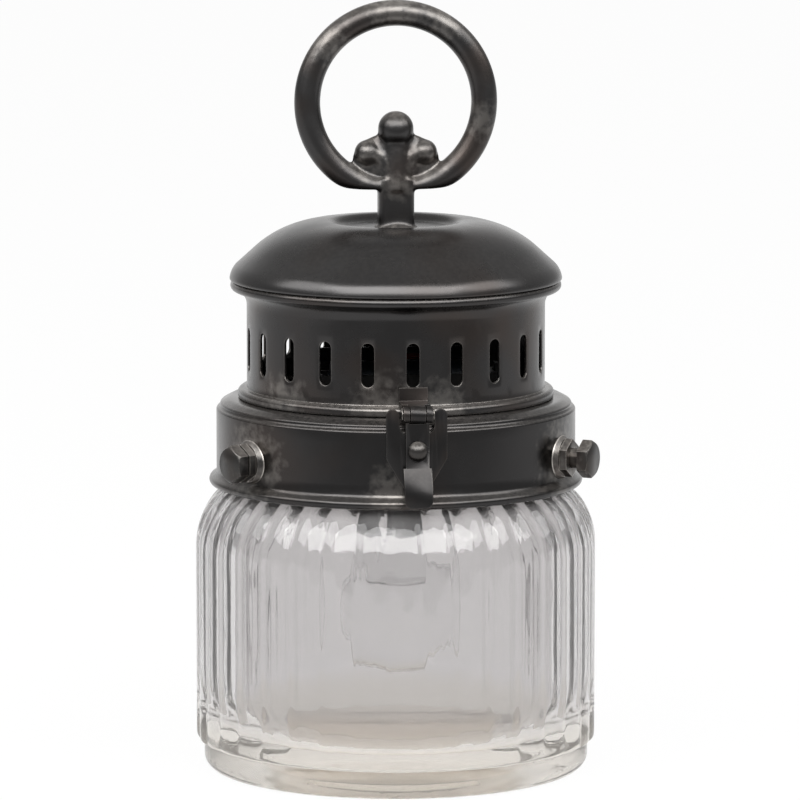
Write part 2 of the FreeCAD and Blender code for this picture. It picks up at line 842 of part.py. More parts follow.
def handle_fixings():
    under = dish_height - S.dome_sheet
    bore = S.stud_radius + S.stud_gap
    tube("handle_washer", S.washer_radius, bore, under - S.washer_thickness, S.washer_thickness)
    low = under - S.washer_thickness - S.handle_nut_thickness
    blank = hexagon("handle_nut_hex", S.screw_flats, S.handle_nut_thickness, (0, 0, low), Rotation())
    hole = primitive("Part::Cylinder", "handle_nut_bore", (0, 0, low),
                     Radius=S.stud_radius + S.thread_gap, Height=S.handle_nut_thickness)
    cut("handle_nut", blank, hole)
    return ["handle_washer", "handle_nut"]


def knuckle(body, name, side, width, reach=hinge_reach):
    """Rolled eye of a hinge leaf, as a round bar along X."""
    roll = sketch_on(body, name + "_roll", "YZ_Plane")
    draw_circle(roll, reach * side, hinge_height, knuckle_radius)
    pad(body, roll, width)


def bore_knuckle(body, name, side, width, reach=hinge_reach):
    eye = sketch_on(body, name + "_eye", "YZ_Plane")
    draw_circle(eye, reach * side, hinge_height, S.pin_radius + S.pin_gap)
    pocket(body, eye, width * 2)


def part_knuckle(body, name, side, middle, reach=hinge_reach):
    """Open the middle of a knuckle for its partner's eye."""
    gap = sketch_on(body, name + "_gap", "YZ_Plane")
    clear = knuckle_radius + S.knuckle_gap
    sides = sorted([(reach - clear) * side, (reach + clear) * side], key=number_of)
    draw(gap, box_corners(*sides, hinge_height - clear, hinge_height + clear))
    pocket(body, gap, middle + S.knuckle_gap * 2)


def hollow_back(body, name, radius):
    """Shape a leaf's back to the round wall that it is soldered to."""
    wall = sketch_on(body, name + "_wall", "XY_Plane")
    draw_circle(wall, 0, 0, radius)
    pocket(body, wall, through)


def collar_hinge_leaf():
    name = "hinge_leaf_collar"
    body = new_body(name)
    strip = sketch_on(body, name + "_strip", "YZ_Plane")
    draw(strip, box_corners(collar_radius - S.leaf_sheet, collar_radius + S.leaf_sheet,
                            hinge_leaf_bottom, hinge_height))
    pad(body, strip, S.hinge_width)
    knuckle(body, name, 1, S.hinge_width)
    part_knuckle(body, name, 1, S.hinge_middle)
    bore_knuckle(body, name, 1, S.hinge_width)
    hollow_back(body, name, collar_radius)
    return body


def lid_leaf(name, side, width, middle):
    """Leaf soldered to the gallery wall, with a tongue out to its knuckle over the collar's edge."""
    body = new_body(name)
    top = hinge_height + knuckle_radius
    low = top - S.leaf_sheet
    tip = collar_radius - S.leaf_sheet
    root_in = gallery_radius - S.leaf_sheet
    tab = sketch_on(body, name + "_tab", "YZ_Plane")
    bend = gallery_radius + S.leaf_sheet
    outline = [(root_in, low), (tip, low), (tip, top), (bend, top), (bend, top + S.leaf_tab),
               (root_in, top + S.leaf_tab)]
    draw(tab, [(reach * side, level) for reach, level in outline])
    pad(body, tab, width)
    tongue = sketch_on(body, name + "_tongue", "YZ_Plane")
    sides = sorted([tip * side, hinge_reach * side], key=number_of)
    draw(tongue, box_corners(*sides, low, top))
    pad(body, tongue, middle)
    knuckle(body, name, side, middle)
    bore_knuckle(body, name, side, middle)
    hollow_back(body, name, gallery_radius)
    return body


def pivot_pin(name, side, width):
    """Plain pin along X with two peened heads."""
    along = Rotation(Vector(0, 1, 0), 90)
    half = width / 2 + S.pin_head
    at = (half * -1, hinge_reach * side, hinge_height)
    head_gap = S.knuckle_gap / 4
    rod = primitive("Part::Cylinder", name + "_rod", at, along, Radius=S.pin_radius, Height=half * 2)
    heads = []
    for end, place in (("left", half * -1 - head_gap), ("right", width / 2 + head_gap)):
        heads.append(primitive("Part::Cylinder", f"{name}_{end}", (place, hinge_reach * side, hinge_height),
                               along, Radius=S.pin_head_radius, Height=S.pin_head))
    return fused(name, rod, *heads)


def latch_plate():
    """Shield plate bent to the collar, with two ears that guide the hasp."""
    blank = new_body("latch_plate_blank")
    face = sketch_on(blank, "latch_plate_face", "XZ_Plane")
    ear = (S.plate_half_width - notch_half) / 2
    shoulder = plate_ear_top - ear
    turn = S.notch_corner
    right = [
        (S.plate_foot_half, plate_bottom),
        (S.plate_half_width, plate_taper),
        (S.plate_half_width, shoulder),
        (S.plate_half_width - ear, plate_ear_top, ear),
        (notch_half, shoulder, ear),
        (notch_half, notch_bottom + turn),
        (notch_half - turn, notch_bottom, turn * -1),
    ]
    left = [
        (turn - notch_half, notch_bottom),
        (notch_half * -1, notch_bottom + turn, turn * -1),
        (notch_half * -1, shoulder),
        (ear - S.plate_half_width, plate_ear_top, ear),
        (S.plate_half_width * -1, shoulder, ear),
        (S.plate_half_width * -1, plate_taper),
        (S.plate_foot_half * -1, plate_bottom),
    ]
    draw(face, right + left)
    pad(blank, face, bead_radius, middle=False)
    height = crest_height - collar_bottom
    shell = tube("latch_plate_shell", plate_face, collar_radius, collar_bottom, height)
    return boolean("Part::Common", "latch_plate", blank, shell)


def latch_hasp():
    """Strap that hangs from the lid between the ears and kicks out over the collar's bead."""
    name = "latch_hasp"
    body = new_body(name)
    top = hinge_height - S.pin_radius - S.pin_gap
    strap = sketch_on(body, name + "_strap", "YZ_Plane")
    draw(strap, box_corners(hasp_front * -1, hasp_back * -1, hasp_bend, top))
    pad(body, strap, S.hasp_width)
    tail = sketch_on(body, name + "_tail", "YZ_Plane")
    front = hasp_front + S.hasp_kick
    back = hasp_back + S.hasp_kick
    outline = [(hasp_back, hasp_bend), (back, hasp_lip_top), (back, hasp_bottom),
               (front, hasp_bottom), (front, hasp_lip_top), (hasp_front, hasp_bend)]
    draw(tail, [(reach * -1, level) for reach, level in outline])
    pad(body, tail, S.tail_width)
    knuckle(body, name, -1, S.latch_width)
    part_knuckle(body, name, -1, S.latch_middle)
    bore_knuckle(body, name, -1, S.latch_width)
    hole = sketch_on(body, name + "_rivet_hole", "XZ_Plane")
    draw_circle(hole, 0, knob_height, S.knob_shank)
    pocket(body, hole, through)

    def is_tail_corner(edge):
        box = edge.BoundBox
        return (abs(box.ZMax - hasp_bottom.value) < TINY and box.XLength < TINY
                and abs(box.YLength - S.hasp_sheet.value) < TINY)

    fillet(body, S.tail_corner, is_tail_corner)
    return body


def hasp_knob():
    """Round-headed finger knob riveted through the strap."""
    rise = S.knob_rise - S.knob_land
    crown = (S.knob_radius * S.knob_radius + rise * rise) / (rise * 2)
    body = turned("hasp_knob", [
        (0, S.hasp_sheet * -1),
        (S.knob_shank, S.hasp_sheet * -1),
        (S.knob_shank, 0),
        (S.knob_radius, 0),
        (S.knob_radius, S.knob_land),
        (0, S.knob_rise, crown),
    ])
    body.Placement = FreeCAD.Placement(Vector(), Rotation(Vector(1, 0, 0), 90))
    bind(body, "Placement.Base.y", hasp_front * -1)
    bind(body, "Placement.Base.z", knob_height)
    return body


def lamp_plate():
    body = new_body("lamp_plate")
    disc = sketch_on(body, "lamp_plate_disc", "XY_Plane")
    draw_circle(disc, 0, 0, lamp_plate_radius)
    pad(body, disc, S.lamp_plate_sheet, middle=False)
    hole = sketch_on(body, "lamp_plate_hole", "XY_Plane")
    draw_circle(hole, 0, 0, S.nipple_radius + S.stud_gap)
    pocket(body, hole, through)
    screws = sketch_on(body, "lamp_plate_screw_hole", "XY_Plane")
    draw_circle(screws, 0, plate_screw_circle, S.plate_screw_radius + S.thread_gap)
    pattern_round(body, pocket(body, screws, through), len(THIRDS))
    bind(body, "Placement.Base.z", collar_top)
    return body


def plate_screws():
    """Three pan-headed screws that hold the lamp plate on the collar's flange."""
    pieces = []
    for angle in THIRDS:
        name = f"plate_screw_{angle}"
        at = (plate_screw_circle, 0, plate_top)
        head = primitive("Part::Cylinder", name + "_head", at, Radius=S.plate_screw_head,
                         Height=S.plate_screw_head_height)
        low = (plate_screw_circle, 0, plate_top - S.plate_screw_length)
        shank = primitive("Part::Cylinder", name + "_shank", low, Radius=S.plate_screw_radius,
                          Height=S.plate_screw_length)
        pieces.append(place_round(fused(name, head, shank), angle))
    return grouped("plate_screws", pieces)


def lamp_holder():
    """Moulded lamp holder: flange and threaded nipple above, open socket below."""
    bore = S.cap_radius + S.cap_gap
    roof = collar_top - S.holder_roof
    return turned("lamp_holder", [
        (S.nipple_bore, roof),
        (bore, roof),
        (bore, holder_bottom),
        (S.holder_radius, holder_bottom),
        (S.holder_radius, collar_top - S.holder_flange),
        (S.holder_flange_radius, collar_top - S.holder_flange),
        (S.holder_flange_radius, collar_top),
        (S.nipple_radius, collar_top),
        (S.nipple_radius, plate_top + S.nipple_length),
        (S.nipple_bore, plate_top + S.nipple_length),
    ])


def holder_nut():
    at = (0, 0, plate_top)
    blank = hexagon("holder_nut_hex", S.holder_nut_flats, S.holder_nut_thickness, at, Rotation())
    bore = primitive("Part::Cylinder", "holder_nut_bore", at,
                     Radius=S.nipple_radius + S.thread_gap, Height=S.holder_nut_thickness)
    return cut("holder_nut", blank, bore)


def bulb():
    """Screw cap, dark base, clear light guide and clear globe."""
    base_top = holder_bottom - S.bulb_base_gap
    cap_top = base_top + S.cap_height
    turned("bulb_cap", [
        (0, base_top),
        (S.cap_radius, base_top),
        (S.cap_radius, cap_top - S.cap_contact_height),
        (S.cap_contact_radius, cap_top),
        (S.cap_contact_radius, cap_top + S.cap_contact_height),
        (0, cap_top + S.cap_contact_height),
    ])
    turned("bulb_base", [
        (0, bulb_base_bottom),
        (S.bulb_base_radius, bulb_base_bottom),
        (S.bulb_base_radius, base_top),
        (0, base_top),
    ])
    turned("light_guide", [
        (0, guide_bottom + S.guide_dimple_depth),
        (S.guide_dimple_radius, guide_bottom),
        (S.guide_radius - S.guide_corner, guide_bottom),
        (S.guide_radius, guide_bottom + S.guide_corner, S.guide_corner),
        (S.guide_radius, bulb_base_bottom),
        (0, bulb_base_bottom),
    ])
    blend = S.globe_neck_blend
    across = S.globe_neck_radius + blend
    reach = S.globe_radius + blend
    blend_height = globe_middle + root(reach * reach - across * across)
    inner = S.globe_radius - S.globe_wall
    neck_inside = S.globe_neck_radius - S.globe_wall

    def on_globe(radius):
        return (across * radius / reach, globe_middle + (blend_height - globe_middle) * radius / reach)

    turned("bulb_globe", [
        (0, globe_middle - S.globe_radius),
        (S.globe_radius, globe_middle, S.globe_radius),
        (*on_globe(S.globe_radius), S.globe_radius),
        (S.globe_neck_radius, blend_height, blend * -1),
        (S.globe_neck_radius, bulb_base_bottom),
        (neck_inside, bulb_base_bottom),
        (neck_inside, blend_height),
        (*on_globe(inner), blend + S.globe_wall),
        (inner, globe_middle, inner * -1),
        (0, globe_middle - inner, inner * -1),
    ])
    return ["bulb_cap", "bulb_base", "light_guide", "bulb_globe"]


def battery_pack():
    """Two open cell holders, one each side of the lamp holder's nut, with cells and sprung end contacts."""
    floor = plate_top + S.box_wall
    level = floor + S.cell_gap + S.cell_radius
    holders = []
    cells = []
    contacts = []
    for name, side in (("rear", 1), ("front", -1)):
        across = (S.box_near + box_depth / 2) * side
        low = across - box_depth / 2
        box = primitive("Part::Box", f"{name}_box", (box_length / -2, low, plate_top),
                        Length=box_length, Width=box_depth, Height=S.box_height)
        bay = primitive("Part::Box", f"{name}_bay", (cell_bay / -2, low + S.box_wall, floor),
                        Length=cell_bay, Width=box_depth - S.box_wall * 2, Height=S.box_height)
        holders.append(cut(f"{name}_holder", box, bay))
        turn = Rotation(Vector(0, 1, 0), 90 * side)
        start = (S.cell_length + S.cell_tip) / -2 * side
        can = primitive("Part::Cylinder", f"{name}_can", (start, across, level), turn,
                        Radius=S.cell_radius, Height=S.cell_length)
        tip = primitive("Part::Cylinder", f"{name}_tip", (start + S.cell_length * side, across, level), turn,
                        Radius=S.cell_tip_radius, Height=S.cell_tip)
        cells.append(fused(f"{name}_cell", can, tip))
        for end, way in (("right", 1), ("left", -1)):
            contacts.append(end_contact(f"{name}_contact_{end}", cell_bay / 2, way, across, floor))
    grouped("battery_holder", holders)
    grouped("battery_cells", cells)
    grouped("battery_contacts", contacts)
    return ["battery_holder", "battery_cells", "battery_contacts"]


def end_contact(name, wall, side, across, floor):
    """Bowed strip that stands against the holder's end wall and springs towards the cell."""
    body = new_body(name)
    strip = sketch_on(body, name + "_strip", "XZ_Plane")
    inner = wall - S.contact_sheet
    top = floor + S.box_height - S.box_wall * 2
    middle = (floor + top) / 2
    bow = inner - S.contact_bow
    spread = S.contact_bow_length / 2
    flat = S.contact_flat / 2
    outline = [(inner, floor), (wall, floor), (wall, top), (inner, top), (inner, middle + spread),
               (bow, middle + flat), (bow, middle - flat), (inner, middle - spread)]
    draw(strip, [(reach * side, level) for reach, level in outline])
    pad(body, strip, S.contact_width)
    bind(body, "Placement.Base.y", across)
    return body


def slide_switch():
    """Switch block beside the cell holders, with a thumb that slides along Y in a shallow slot."""
    block = primitive("Part::Box", "switch_block", (switch_near, S.switch_length / -2, plate_top),
                      Length=S.switch_depth, Width=S.switch_length, Height=S.switch_height)
    middle = switch_near + S.switch_depth / 2
    slot_length = S.thumb_length + S.thumb_travel + S.thumb_gap * 2
    slot_width = S.thumb_width + S.thumb_gap * 2
    slot_floor = plate_top + S.switch_height - S.switch_slot_depth
    slot = primitive("Part::Box", "switch_slot", (middle - slot_width / 2, slot_length / -2, slot_floor),
                     Length=slot_width, Width=slot_length, Height=S.switch_slot_depth)
    cut("switch_body", block, slot)
    corner = (middle - S.thumb_width / 2, S.thumb_gap - slot_length / 2, slot_floor + S.thumb_gap)
    thumb = primitive("Part::Box", "switch_thumb", corner, Length=S.thumb_width, Width=S.thumb_length,
                      Height=S.switch_slot_depth - S.thumb_gap + S.thumb_rise)
    thumb.Label = "switch_thumb"
    return ["switch_body", "switch_thumb"]


def routed(name, points):
    """Round wire through the points, with one arc size at every corner."""
    radius = S.lead_radius.value
    edges = []
    start = points[0]
    for before, corner, after in zip(points, points[1:], points[2:]):
        into = (corner - before).normalize()
        out = (after - corner).normalize()
        bend = math.tan(into.getAngle(out) / 2) * S.lead_bend.value
        first = corner - into * bend
        last = corner + out * bend
        inward = (out - into).normalize()
        middle = corner + inward * (math.sqrt(bend ** 2 + S.lead_bend.value ** 2) - S.lead_bend.value)
        edges.append(Part.LineSegment(start, first).toShape())
        edges.append(Part.Arc(first, middle, last).toShape())
        start = last
    edges.append(Part.LineSegment(start, points[-1]).toShape())
    path = Part.Wire(edges)
    section = Part.Wire(Part.makeCircle(radius, points[0], points[1] - points[0]))
    obj = doc.addObject("Part::Feature", name)
    obj.Shape = path.makePipeShell([section], True, False)
    obj.Label = name
    return obj


def leads():
    """Link between the cells, feed to the switch, and two leads into the lamp holder."""
    level = (plate_top + S.lead_height).value
    top = (plate_top + S.nipple_length + S.lead_rise).value
    end = (plate_top + S.nipple_length - S.lead_entry).value
    near = S.box_near.value
    side = S.lead_side.value
    apart = S.lead_apart.value
    feed = S.lead_feed.value
    face = switch_near.value
    lamp = S.lead_lamp_turn.value
    back = S.lead_back_turn.value
    pieces = [
        routed("lead_link", [Vector(-side, near, level), Vector(-side, -near, level)]),
        routed("lead_feed", [Vector(side, near, level), Vector(side, feed, level),
                             Vector(face, feed, level)]),
        routed("lead_lamp", [Vector(face, apart, level), Vector(lamp, apart, level),
                             Vector(lamp, apart, top), Vector(0, apart, top), Vector(0, apart, end)]),
        routed("lead_back", [Vector(back, -near, level), Vector(back, -apart, level),
                             Vector(back, -apart, top), Vector(0, -apart, top), Vector(0, -apart, end)]),
    ]
    return grouped("lamp_leads", pieces)


glass_jar()
collar_band()
tube("rim_gasket", neck_radius, neck_bore, rim_height, S.gasket_thickness)
grouped("collar_nuts", [weld_nut(f"collar_nut_{angle}", angle) for angle in SCREW_ANGLES.values()])
for screw, angle in SCREW_ANGLES.items():
    clamp_screw(screw, angle, S.screw_long_gap if screw == "clamp_screw_right" else S.screw_head_gap)
gallery_ring()
dome_cap()
ring_handle()
collar_hinge_leaf()
lid_leaf("hinge_leaf_lid", 1, S.hinge_width, S.hinge_middle)
pivot_pin("hinge_pin", 1, S.hinge_width)
latch_plate()
lid_leaf("latch_bracket", -1, S.latch_width, S.latch_middle)
pivot_pin("latch_pin", -1, S.latch_width)
latch_hasp()
hasp_knob()
lamp_plate()
plate_screws()
lamp_holder()
holder_nut()
leads()
NODES = ["glass_jar", "collar_band", "rim_gasket", "collar_nuts", *SCREW_ANGLES, "gallery_ring",
         "dome_cap", "ring_handle", *handle_fixings(), "hinge_leaf_collar", "hinge_leaf_lid",
         "hinge_pin", "latch_plate", "latch_bracket", "latch_pin", "latch_hasp", "hasp_knob",
         "lamp_plate", "plate_screws", "lamp_holder", "holder_nut", *bulb(), *battery_pack(),
         *slide_switch(), "lamp_leads"]
doc.recompute()

for obj in doc.Objects:
    if {"Invalid", "Error"} & set(obj.State):
        raise RuntimeError(f"{obj.Name} is {obj.State}")
shapes = {}
for name in NODES:
    shape = doc.getObjectsByLabel(name)[0].Shape
    if shape.isNull() or not shape.isValid() or not shape.Solids:
        raise RuntimeError(f"{name} has no valid solid")
    shapes[name] = shape

os.makedirs("parts", exist_ok=True)
for name, shape in shapes.items():
    shape.exportStep(f"parts/{name}.step")
    print(f"{name}: {len(shape.Solids)} solid(s), {shape.Volume:.1f} mm3")
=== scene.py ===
# %% [markdown]
# # A lantern with a reeded glass jar
# The real object is a small battery lantern. A thick pressed-glass jar carries a collar of blackened
# sheet steel, held by three hexagon screws. A lid is hinged to the collar: a vented gallery, a spun dome
# and a cast ring to lift it by. The solids of every piece come ready made, in metres, in the frame that
# the joints use, so this lesson only has to give them the shapes and finishes that the eye expects.

# %% Load the solids
import math

import bmesh
import bpy
from mathutils import Matrix, Vector


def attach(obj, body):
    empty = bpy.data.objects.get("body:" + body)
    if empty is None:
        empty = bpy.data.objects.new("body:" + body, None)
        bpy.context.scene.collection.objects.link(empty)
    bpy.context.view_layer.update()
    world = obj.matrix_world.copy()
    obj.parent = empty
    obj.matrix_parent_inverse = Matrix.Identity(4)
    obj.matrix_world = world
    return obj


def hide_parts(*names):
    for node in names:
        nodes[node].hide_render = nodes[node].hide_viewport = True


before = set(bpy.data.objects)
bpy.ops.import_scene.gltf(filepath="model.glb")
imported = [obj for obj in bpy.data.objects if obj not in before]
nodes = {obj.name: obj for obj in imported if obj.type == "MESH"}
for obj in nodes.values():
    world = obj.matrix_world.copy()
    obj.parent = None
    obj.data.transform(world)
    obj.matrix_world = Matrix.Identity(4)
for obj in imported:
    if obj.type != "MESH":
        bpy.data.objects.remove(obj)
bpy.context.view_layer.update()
MM = 0.001

# %% [markdown]
# Every finish below is written in the same few steps, so three helpers come first. Colours are sRGB hex
# values, as a paint chart gives them, and Blender mixes light in linear values, so one function converts
# them. One function adds a node, sets it, links it and hands back one output. The third opens a new
# material and hands back what each finish needs: its node tree, its shader and the Object coordinates
# that patterns lie on. A Mix node has sockets for several kinds of value, so those used here get names.

# %% Helpers for finishes
COLOUR_A, COLOUR_B, COLOUR_MIXED = 6, 7, 2
VALUE_A, VALUE_B = 2, 3


def colour(code):
    shares = [int(code[start:start + 2], 16) / 255 for start in (1, 3, 5)]
    linear = [share / 12.92 if share <= 0.04045 else ((share + 0.055) / 1.055) ** 2.4
              for share in shares]
    return (*linear, 1)


def node(tree, kind, inputs=None, out=0, **settings):
    made = tree.nodes.new(kind)
    for name, value in settings.items():
        setattr(made, name, value)
    for socket, value in (inputs or {}).items():
        if isinstance(value, bpy.types.NodeSocket):
            tree.links.new(value, made.inputs[socket])
        else:
            made.inputs[socket].default_value = value
    return made.outputs[out]


def open_material(name):
    finish = bpy.data.materials.new(name)
    finish.use_nodes = True
    tree = finish.node_tree
    place = node(tree, "ShaderNodeTexCoord", out="Object")
    return finish, tree, tree.nodes["Principled BSDF"], place


print("finish helpers ready: colour, node, open_material")

# %% [markdown]
# Most pieces here were made on a lathe, a spinning former or a mould that turns, so their section tells
# the whole shape. A profile could be typed in as a long list of points. It is drawn with a pen instead:
# a vertex is extruded for a straight run and spun about a centre for a curve, then the profile itself is
# spun about the lantern's axis. Heights and radii stay readable as millimetres on a maker's drawing.

# %% Helpers for turned pieces
ONE_POINT = MM / 1000


# A move is ("line", radius, height, steps), which ends at that point, or
# ("arc", radius, height, degrees, steps), which turns about it. Lengths are in millimetres.
def drawn(bm, start, moves):
    tip = bm.verts.new((start[0] * MM, 0, start[1] * MM))
    for kind, *move in moves:
        if kind == "line":
            radius, height, steps = move
            run = (Vector((radius * MM, 0, height * MM)) - tip.co) / steps
            for _ in range(steps):
                tip = bmesh.ops.extrude_vert_indiv(bm, verts=[tip])["verts"][0]
                tip.co += run
        else:
            radius, height, degrees, steps = move
            made = bmesh.ops.spin(bm, geom=[tip], cent=(radius * MM, 0, height * MM), axis=(0, -1, 0),
                                  angle=math.radians(degrees), steps=steps)
            tip = next(part for part in made["geom_last"] if isinstance(part, bmesh.types.BMVert))


def turned(start, moves, steps):
    bm = bmesh.new()
    drawn(bm, start, moves)
    bmesh.ops.spin(bm, geom=bm.verts[:] + bm.edges[:], cent=(0, 0, 0), axis=(0, 0, 1),
                   angle=math.tau, steps=steps, use_merge=True)
    bmesh.ops.remove_doubles(bm, verts=bm.verts[:], dist=ONE_POINT)
    bmesh.ops.recalc_face_normals(bm, faces=bm.faces[:])
    return bm


def piece(name, bm, finish, body, slot, *replaced, sharp=40):
    mesh = bpy.data.meshes.new(name)
    bm.to_mesh(mesh)
    bm.free()
    mesh.shade_smooth()
    mesh.set_sharp_from_angle(angle=math.radians(sharp))
    mesh.materials.append(finish)
    made = bpy.data.objects.new(name, mesh)
    bpy.context.scene.collection.objects.link(made)
    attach(made, body)
    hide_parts(*replaced)
    print(f"{name}: {len(mesh.polygons)} faces, rides on {body}")
    return made


def round_edges(made, name, width_mm, segments, degrees):
    rounding = made.modifiers.new(name, "BEVEL")
    rounding.width = width_mm * MM
    rounding.segments = segments
    rounding.limit_method = "ANGLE"
    rounding.angle_limit = math.radians(degrees)
    return rounding


print("shape helpers ready: drawn, turned, piece, round_edges")

# %% [markdown]
# ## Pressed glass
# The jar is soda-lime glass, pressed in a mould. It is almost clear, a little grey in the wall and a
# little warm in the thick foot. On its floor a pale warm disc is painted shade, standing for the shadowed
# table seen through the thick floor. A painted map could say where each zone lies. Height and distance
# from the axis say it too, in millimetres, and need no unwrapping.

# %% Pressed glass: tint
FOOT_END, WALL_START = 13 * MM, 20 * MM
DISC_RIM, DISC_FULL = 37 * MM, 34 * MM
DISC_TOP, DISC_DEEP = 13 * MM, 11.5 * MM
pressed_glass, tree, shader, place = open_material("pressed_soda_glass")
height = node(tree, "ShaderNodeSeparateXYZ", {"Vector": place}, out="Z")
flat_place = node(tree, "ShaderNodeVectorMath", {0: place, 1: (1, 1, 0)}, operation="MULTIPLY")
from_axis = node(tree, "ShaderNodeVectorMath", {0: flat_place}, out="Value", operation="LENGTH")
in_wall = node(tree, "ShaderNodeMapRange", {"Value": height, "From Min": FOOT_END, "From Max": WALL_START})
# Painted shade: inner and sunk mark the floor's disc, tinted warm for the shadowed table seen through it.
inner = node(tree, "ShaderNodeMapRange", {"Value": from_axis, "From Min": DISC_RIM, "From Max": DISC_FULL})
sunk = node(tree, "ShaderNodeMapRange", {"Value": height, "From Min": DISC_TOP, "From Max": DISC_DEEP})
disc = node(tree, "ShaderNodeMath", {0: inner, 1: sunk}, operation="MULTIPLY")
tint = colour("#e6e2dc")
for share, over in ((in_wall, "#dcdada"), (disc, "#f8efe2")):
    tint = node(tree, "ShaderNodeMix", {"Factor": share, COLOUR_A: tint, COLOUR_B: colour(over)},
                out=COLOUR_MIXED, data_type="RGBA")
tree.links.new(tint, shader.inputs["Base Color"])
print("glass tint ready")

# %% [markdown]
# The mould leaves slow waves and fine upright streaks in the surface, and straight things seen through
# the wall wander because of them. They are too shallow to model, so two soft bumps carry them, the streaks
# as a noise that is stretched along the height. The outer rim under the foot is stippled, as on jars that
# have to stand steady, and a cell pattern that fades out above it gives that crumbled edge of light.

# %% Pressed glass: surface
WAVE_SIZE, STREAK_SIZE, STIPPLE_SIZE = 12 * MM, 3 * MM, 1.5 * MM
STREAK_STRETCH = 0.03
STIPPLE_TOP, STIPPLE_FULL = 1.0 * MM, 0.5 * MM
STIPPLE_INSIDE, STIPPLE_RIM = 53.5 * MM, 55 * MM
waves = node(tree, "ShaderNodeTexNoise", {"Vector": place, "Scale": 1 / WAVE_SIZE, "Detail": 1.0})
wavy = node(tree, "ShaderNodeBump", {"Height": waves, "Strength": 0.3, "Distance": 0.5 * MM})
upright = node(tree, "ShaderNodeVectorMath", {0: place, 1: (1, 1, STREAK_STRETCH)}, operation="MULTIPLY")
streaks = node(tree, "ShaderNodeTexNoise", {"Vector": upright, "Scale": 1 / STREAK_SIZE, "Detail": 1.0})
streaky = node(tree, "ShaderNodeBump",
               {"Height": streaks, "Strength": 0.4, "Distance": 0.25 * MM, "Normal": wavy})
under = node(tree, "ShaderNodeMapRange",
             {"Value": height, "From Min": STIPPLE_TOP, "From Max": STIPPLE_FULL})
outer = node(tree, "ShaderNodeMapRange",
             {"Value": from_axis, "From Min": STIPPLE_INSIDE, "From Max": STIPPLE_RIM})
bearing = node(tree, "ShaderNodeMath", {0: under, 1: outer}, operation="MULTIPLY")
cells = node(tree, "ShaderNodeTexVoronoi", {"Vector": place, "Scale": 1 / STIPPLE_SIZE})
stipple = node(tree, "ShaderNodeMath", {0: cells, 1: bearing}, operation="MULTIPLY")
relief = node(tree, "ShaderNodeBump",
              {"Height": stipple, "Strength": 0.8, "Distance": 0.4 * MM, "Normal": streaky})
tree.links.new(relief, shader.inputs["Normal"])
print("glass surface ready")

# %% [markdown]
# A film of dust and handling scatters a small share of the light and makes the jar read as an old, used
# one. It lies thicker on the shoulder and the foot. It is thickest on the floor's disc, and there it is
# painted shade for the shadowed table seen through the floor. Real glass has one refractive index all
# over, about 1.5. Here it falls to 1.12 in foot and floor, which is a liberty: at 1.5 so thick a floor
# draws hard dark lines, and the eye takes those for cracks.

# %% Pressed glass: film and bending
SHOULDER_FILM_START, SHOULDER_FILM_FULL = 78 * MM, 88 * MM
BENDING_START, BENDING_FULL = 14 * MM, 32 * MM
film = node(tree, "ShaderNodeMapRange", {"Value": height, "From Min": SHOULDER_FILM_START,
                                         "From Max": SHOULDER_FILM_FULL, "To Min": 0.94, "To Max": 0.82})
foot_film = node(tree, "ShaderNodeMapRange", {"Value": height, "From Min": FOOT_END,
                                              "From Max": WALL_START, "To Min": 0.88})
# Painted shade: the film is thickest on the floor's disc.
disc_shade_film = node(tree, "ShaderNodeMapRange", {"Value": disc, "To Min": 1.0, "To Max": 0.72})
for share in (foot_film, disc_shade_film):
    film = node(tree, "ShaderNodeMath", {0: film, 1: share}, operation="MULTIPLY")
tree.links.new(film, shader.inputs["Transmission Weight"])
bending = node(tree, "ShaderNodeMapRange", {"Value": height, "From Min": BENDING_START,
                                            "From Max": BENDING_FULL, "To Min": 1.12, "To Max": 1.5})
tree.links.new(bending, shader.inputs["IOR"])
shader.inputs["Roughness"].default_value = 0.02
print("pressed glass ready")

# %% [markdown]
# ## The jar's wall
# The jar is one closed wall: a foot that stands on a ring, a straight side, a round shoulder and a neck
# that hides in the collar, then back down the inside to a thick floor. It could be spun in few steps and
# smoothed. It is spun with sixteen steps to each of its thirty-six reeds instead, because the reeds are
# formed next, by moving these vertices.

# %% The jar's wall
REEDS, STEPS_PER_REED = 36, 16
jar = turned((0, 1), [
    ("line", 36, 1, 1), ("line", 37, 0, 1), ("line", 53.8, 0, 2), ("arc", 53.8, 4.2, 90, 8),
    ("line", 58, 8.4, 2), ("line", 58, 12.6, 14), ("line", 60.3, 13.4, 1), ("line", 60.3, 68, 10),
    ("arc", 37.8, 68, 58.67, 24), ("line", 49.5, 104.8, 2), ("line", 51.3, 107.1, 1),
    ("line", 51.3, 108.8, 1), ("arc", 50.7, 108.8, 90, 3), ("line", 46.1, 109.4, 1),
    ("arc", 46.1, 108.8, 90, 3), ("line", 45.5, 84.27, 2), ("arc", 37.8, 68, -64.67, 20),
    ("line", 55.8, 27, 6), ("arc", 39.8, 27, -90, 16), ("line", 0, 11, 3)], REEDS * STEPS_PER_REED)
print(f"jar wall: {len(jar.verts)} vertices")

# %% [markdown]
# ## The reeds
# Rounded reeds run up the wall, start from round noses above a plain foot, and draw together over the
# shoulder, where they grow deeper. Cutting them one by one would leave hundreds of seams, so each outer
# vertex is drawn in by the depth that the reed's round section has at its angle. The valley is eased a
# little, because no mould leaves a knife edge. The inside follows at three quarters of that depth, as it
# does where hot glass is blown against a reeded mould, so the wall bends light far less than its outside
# suggests.

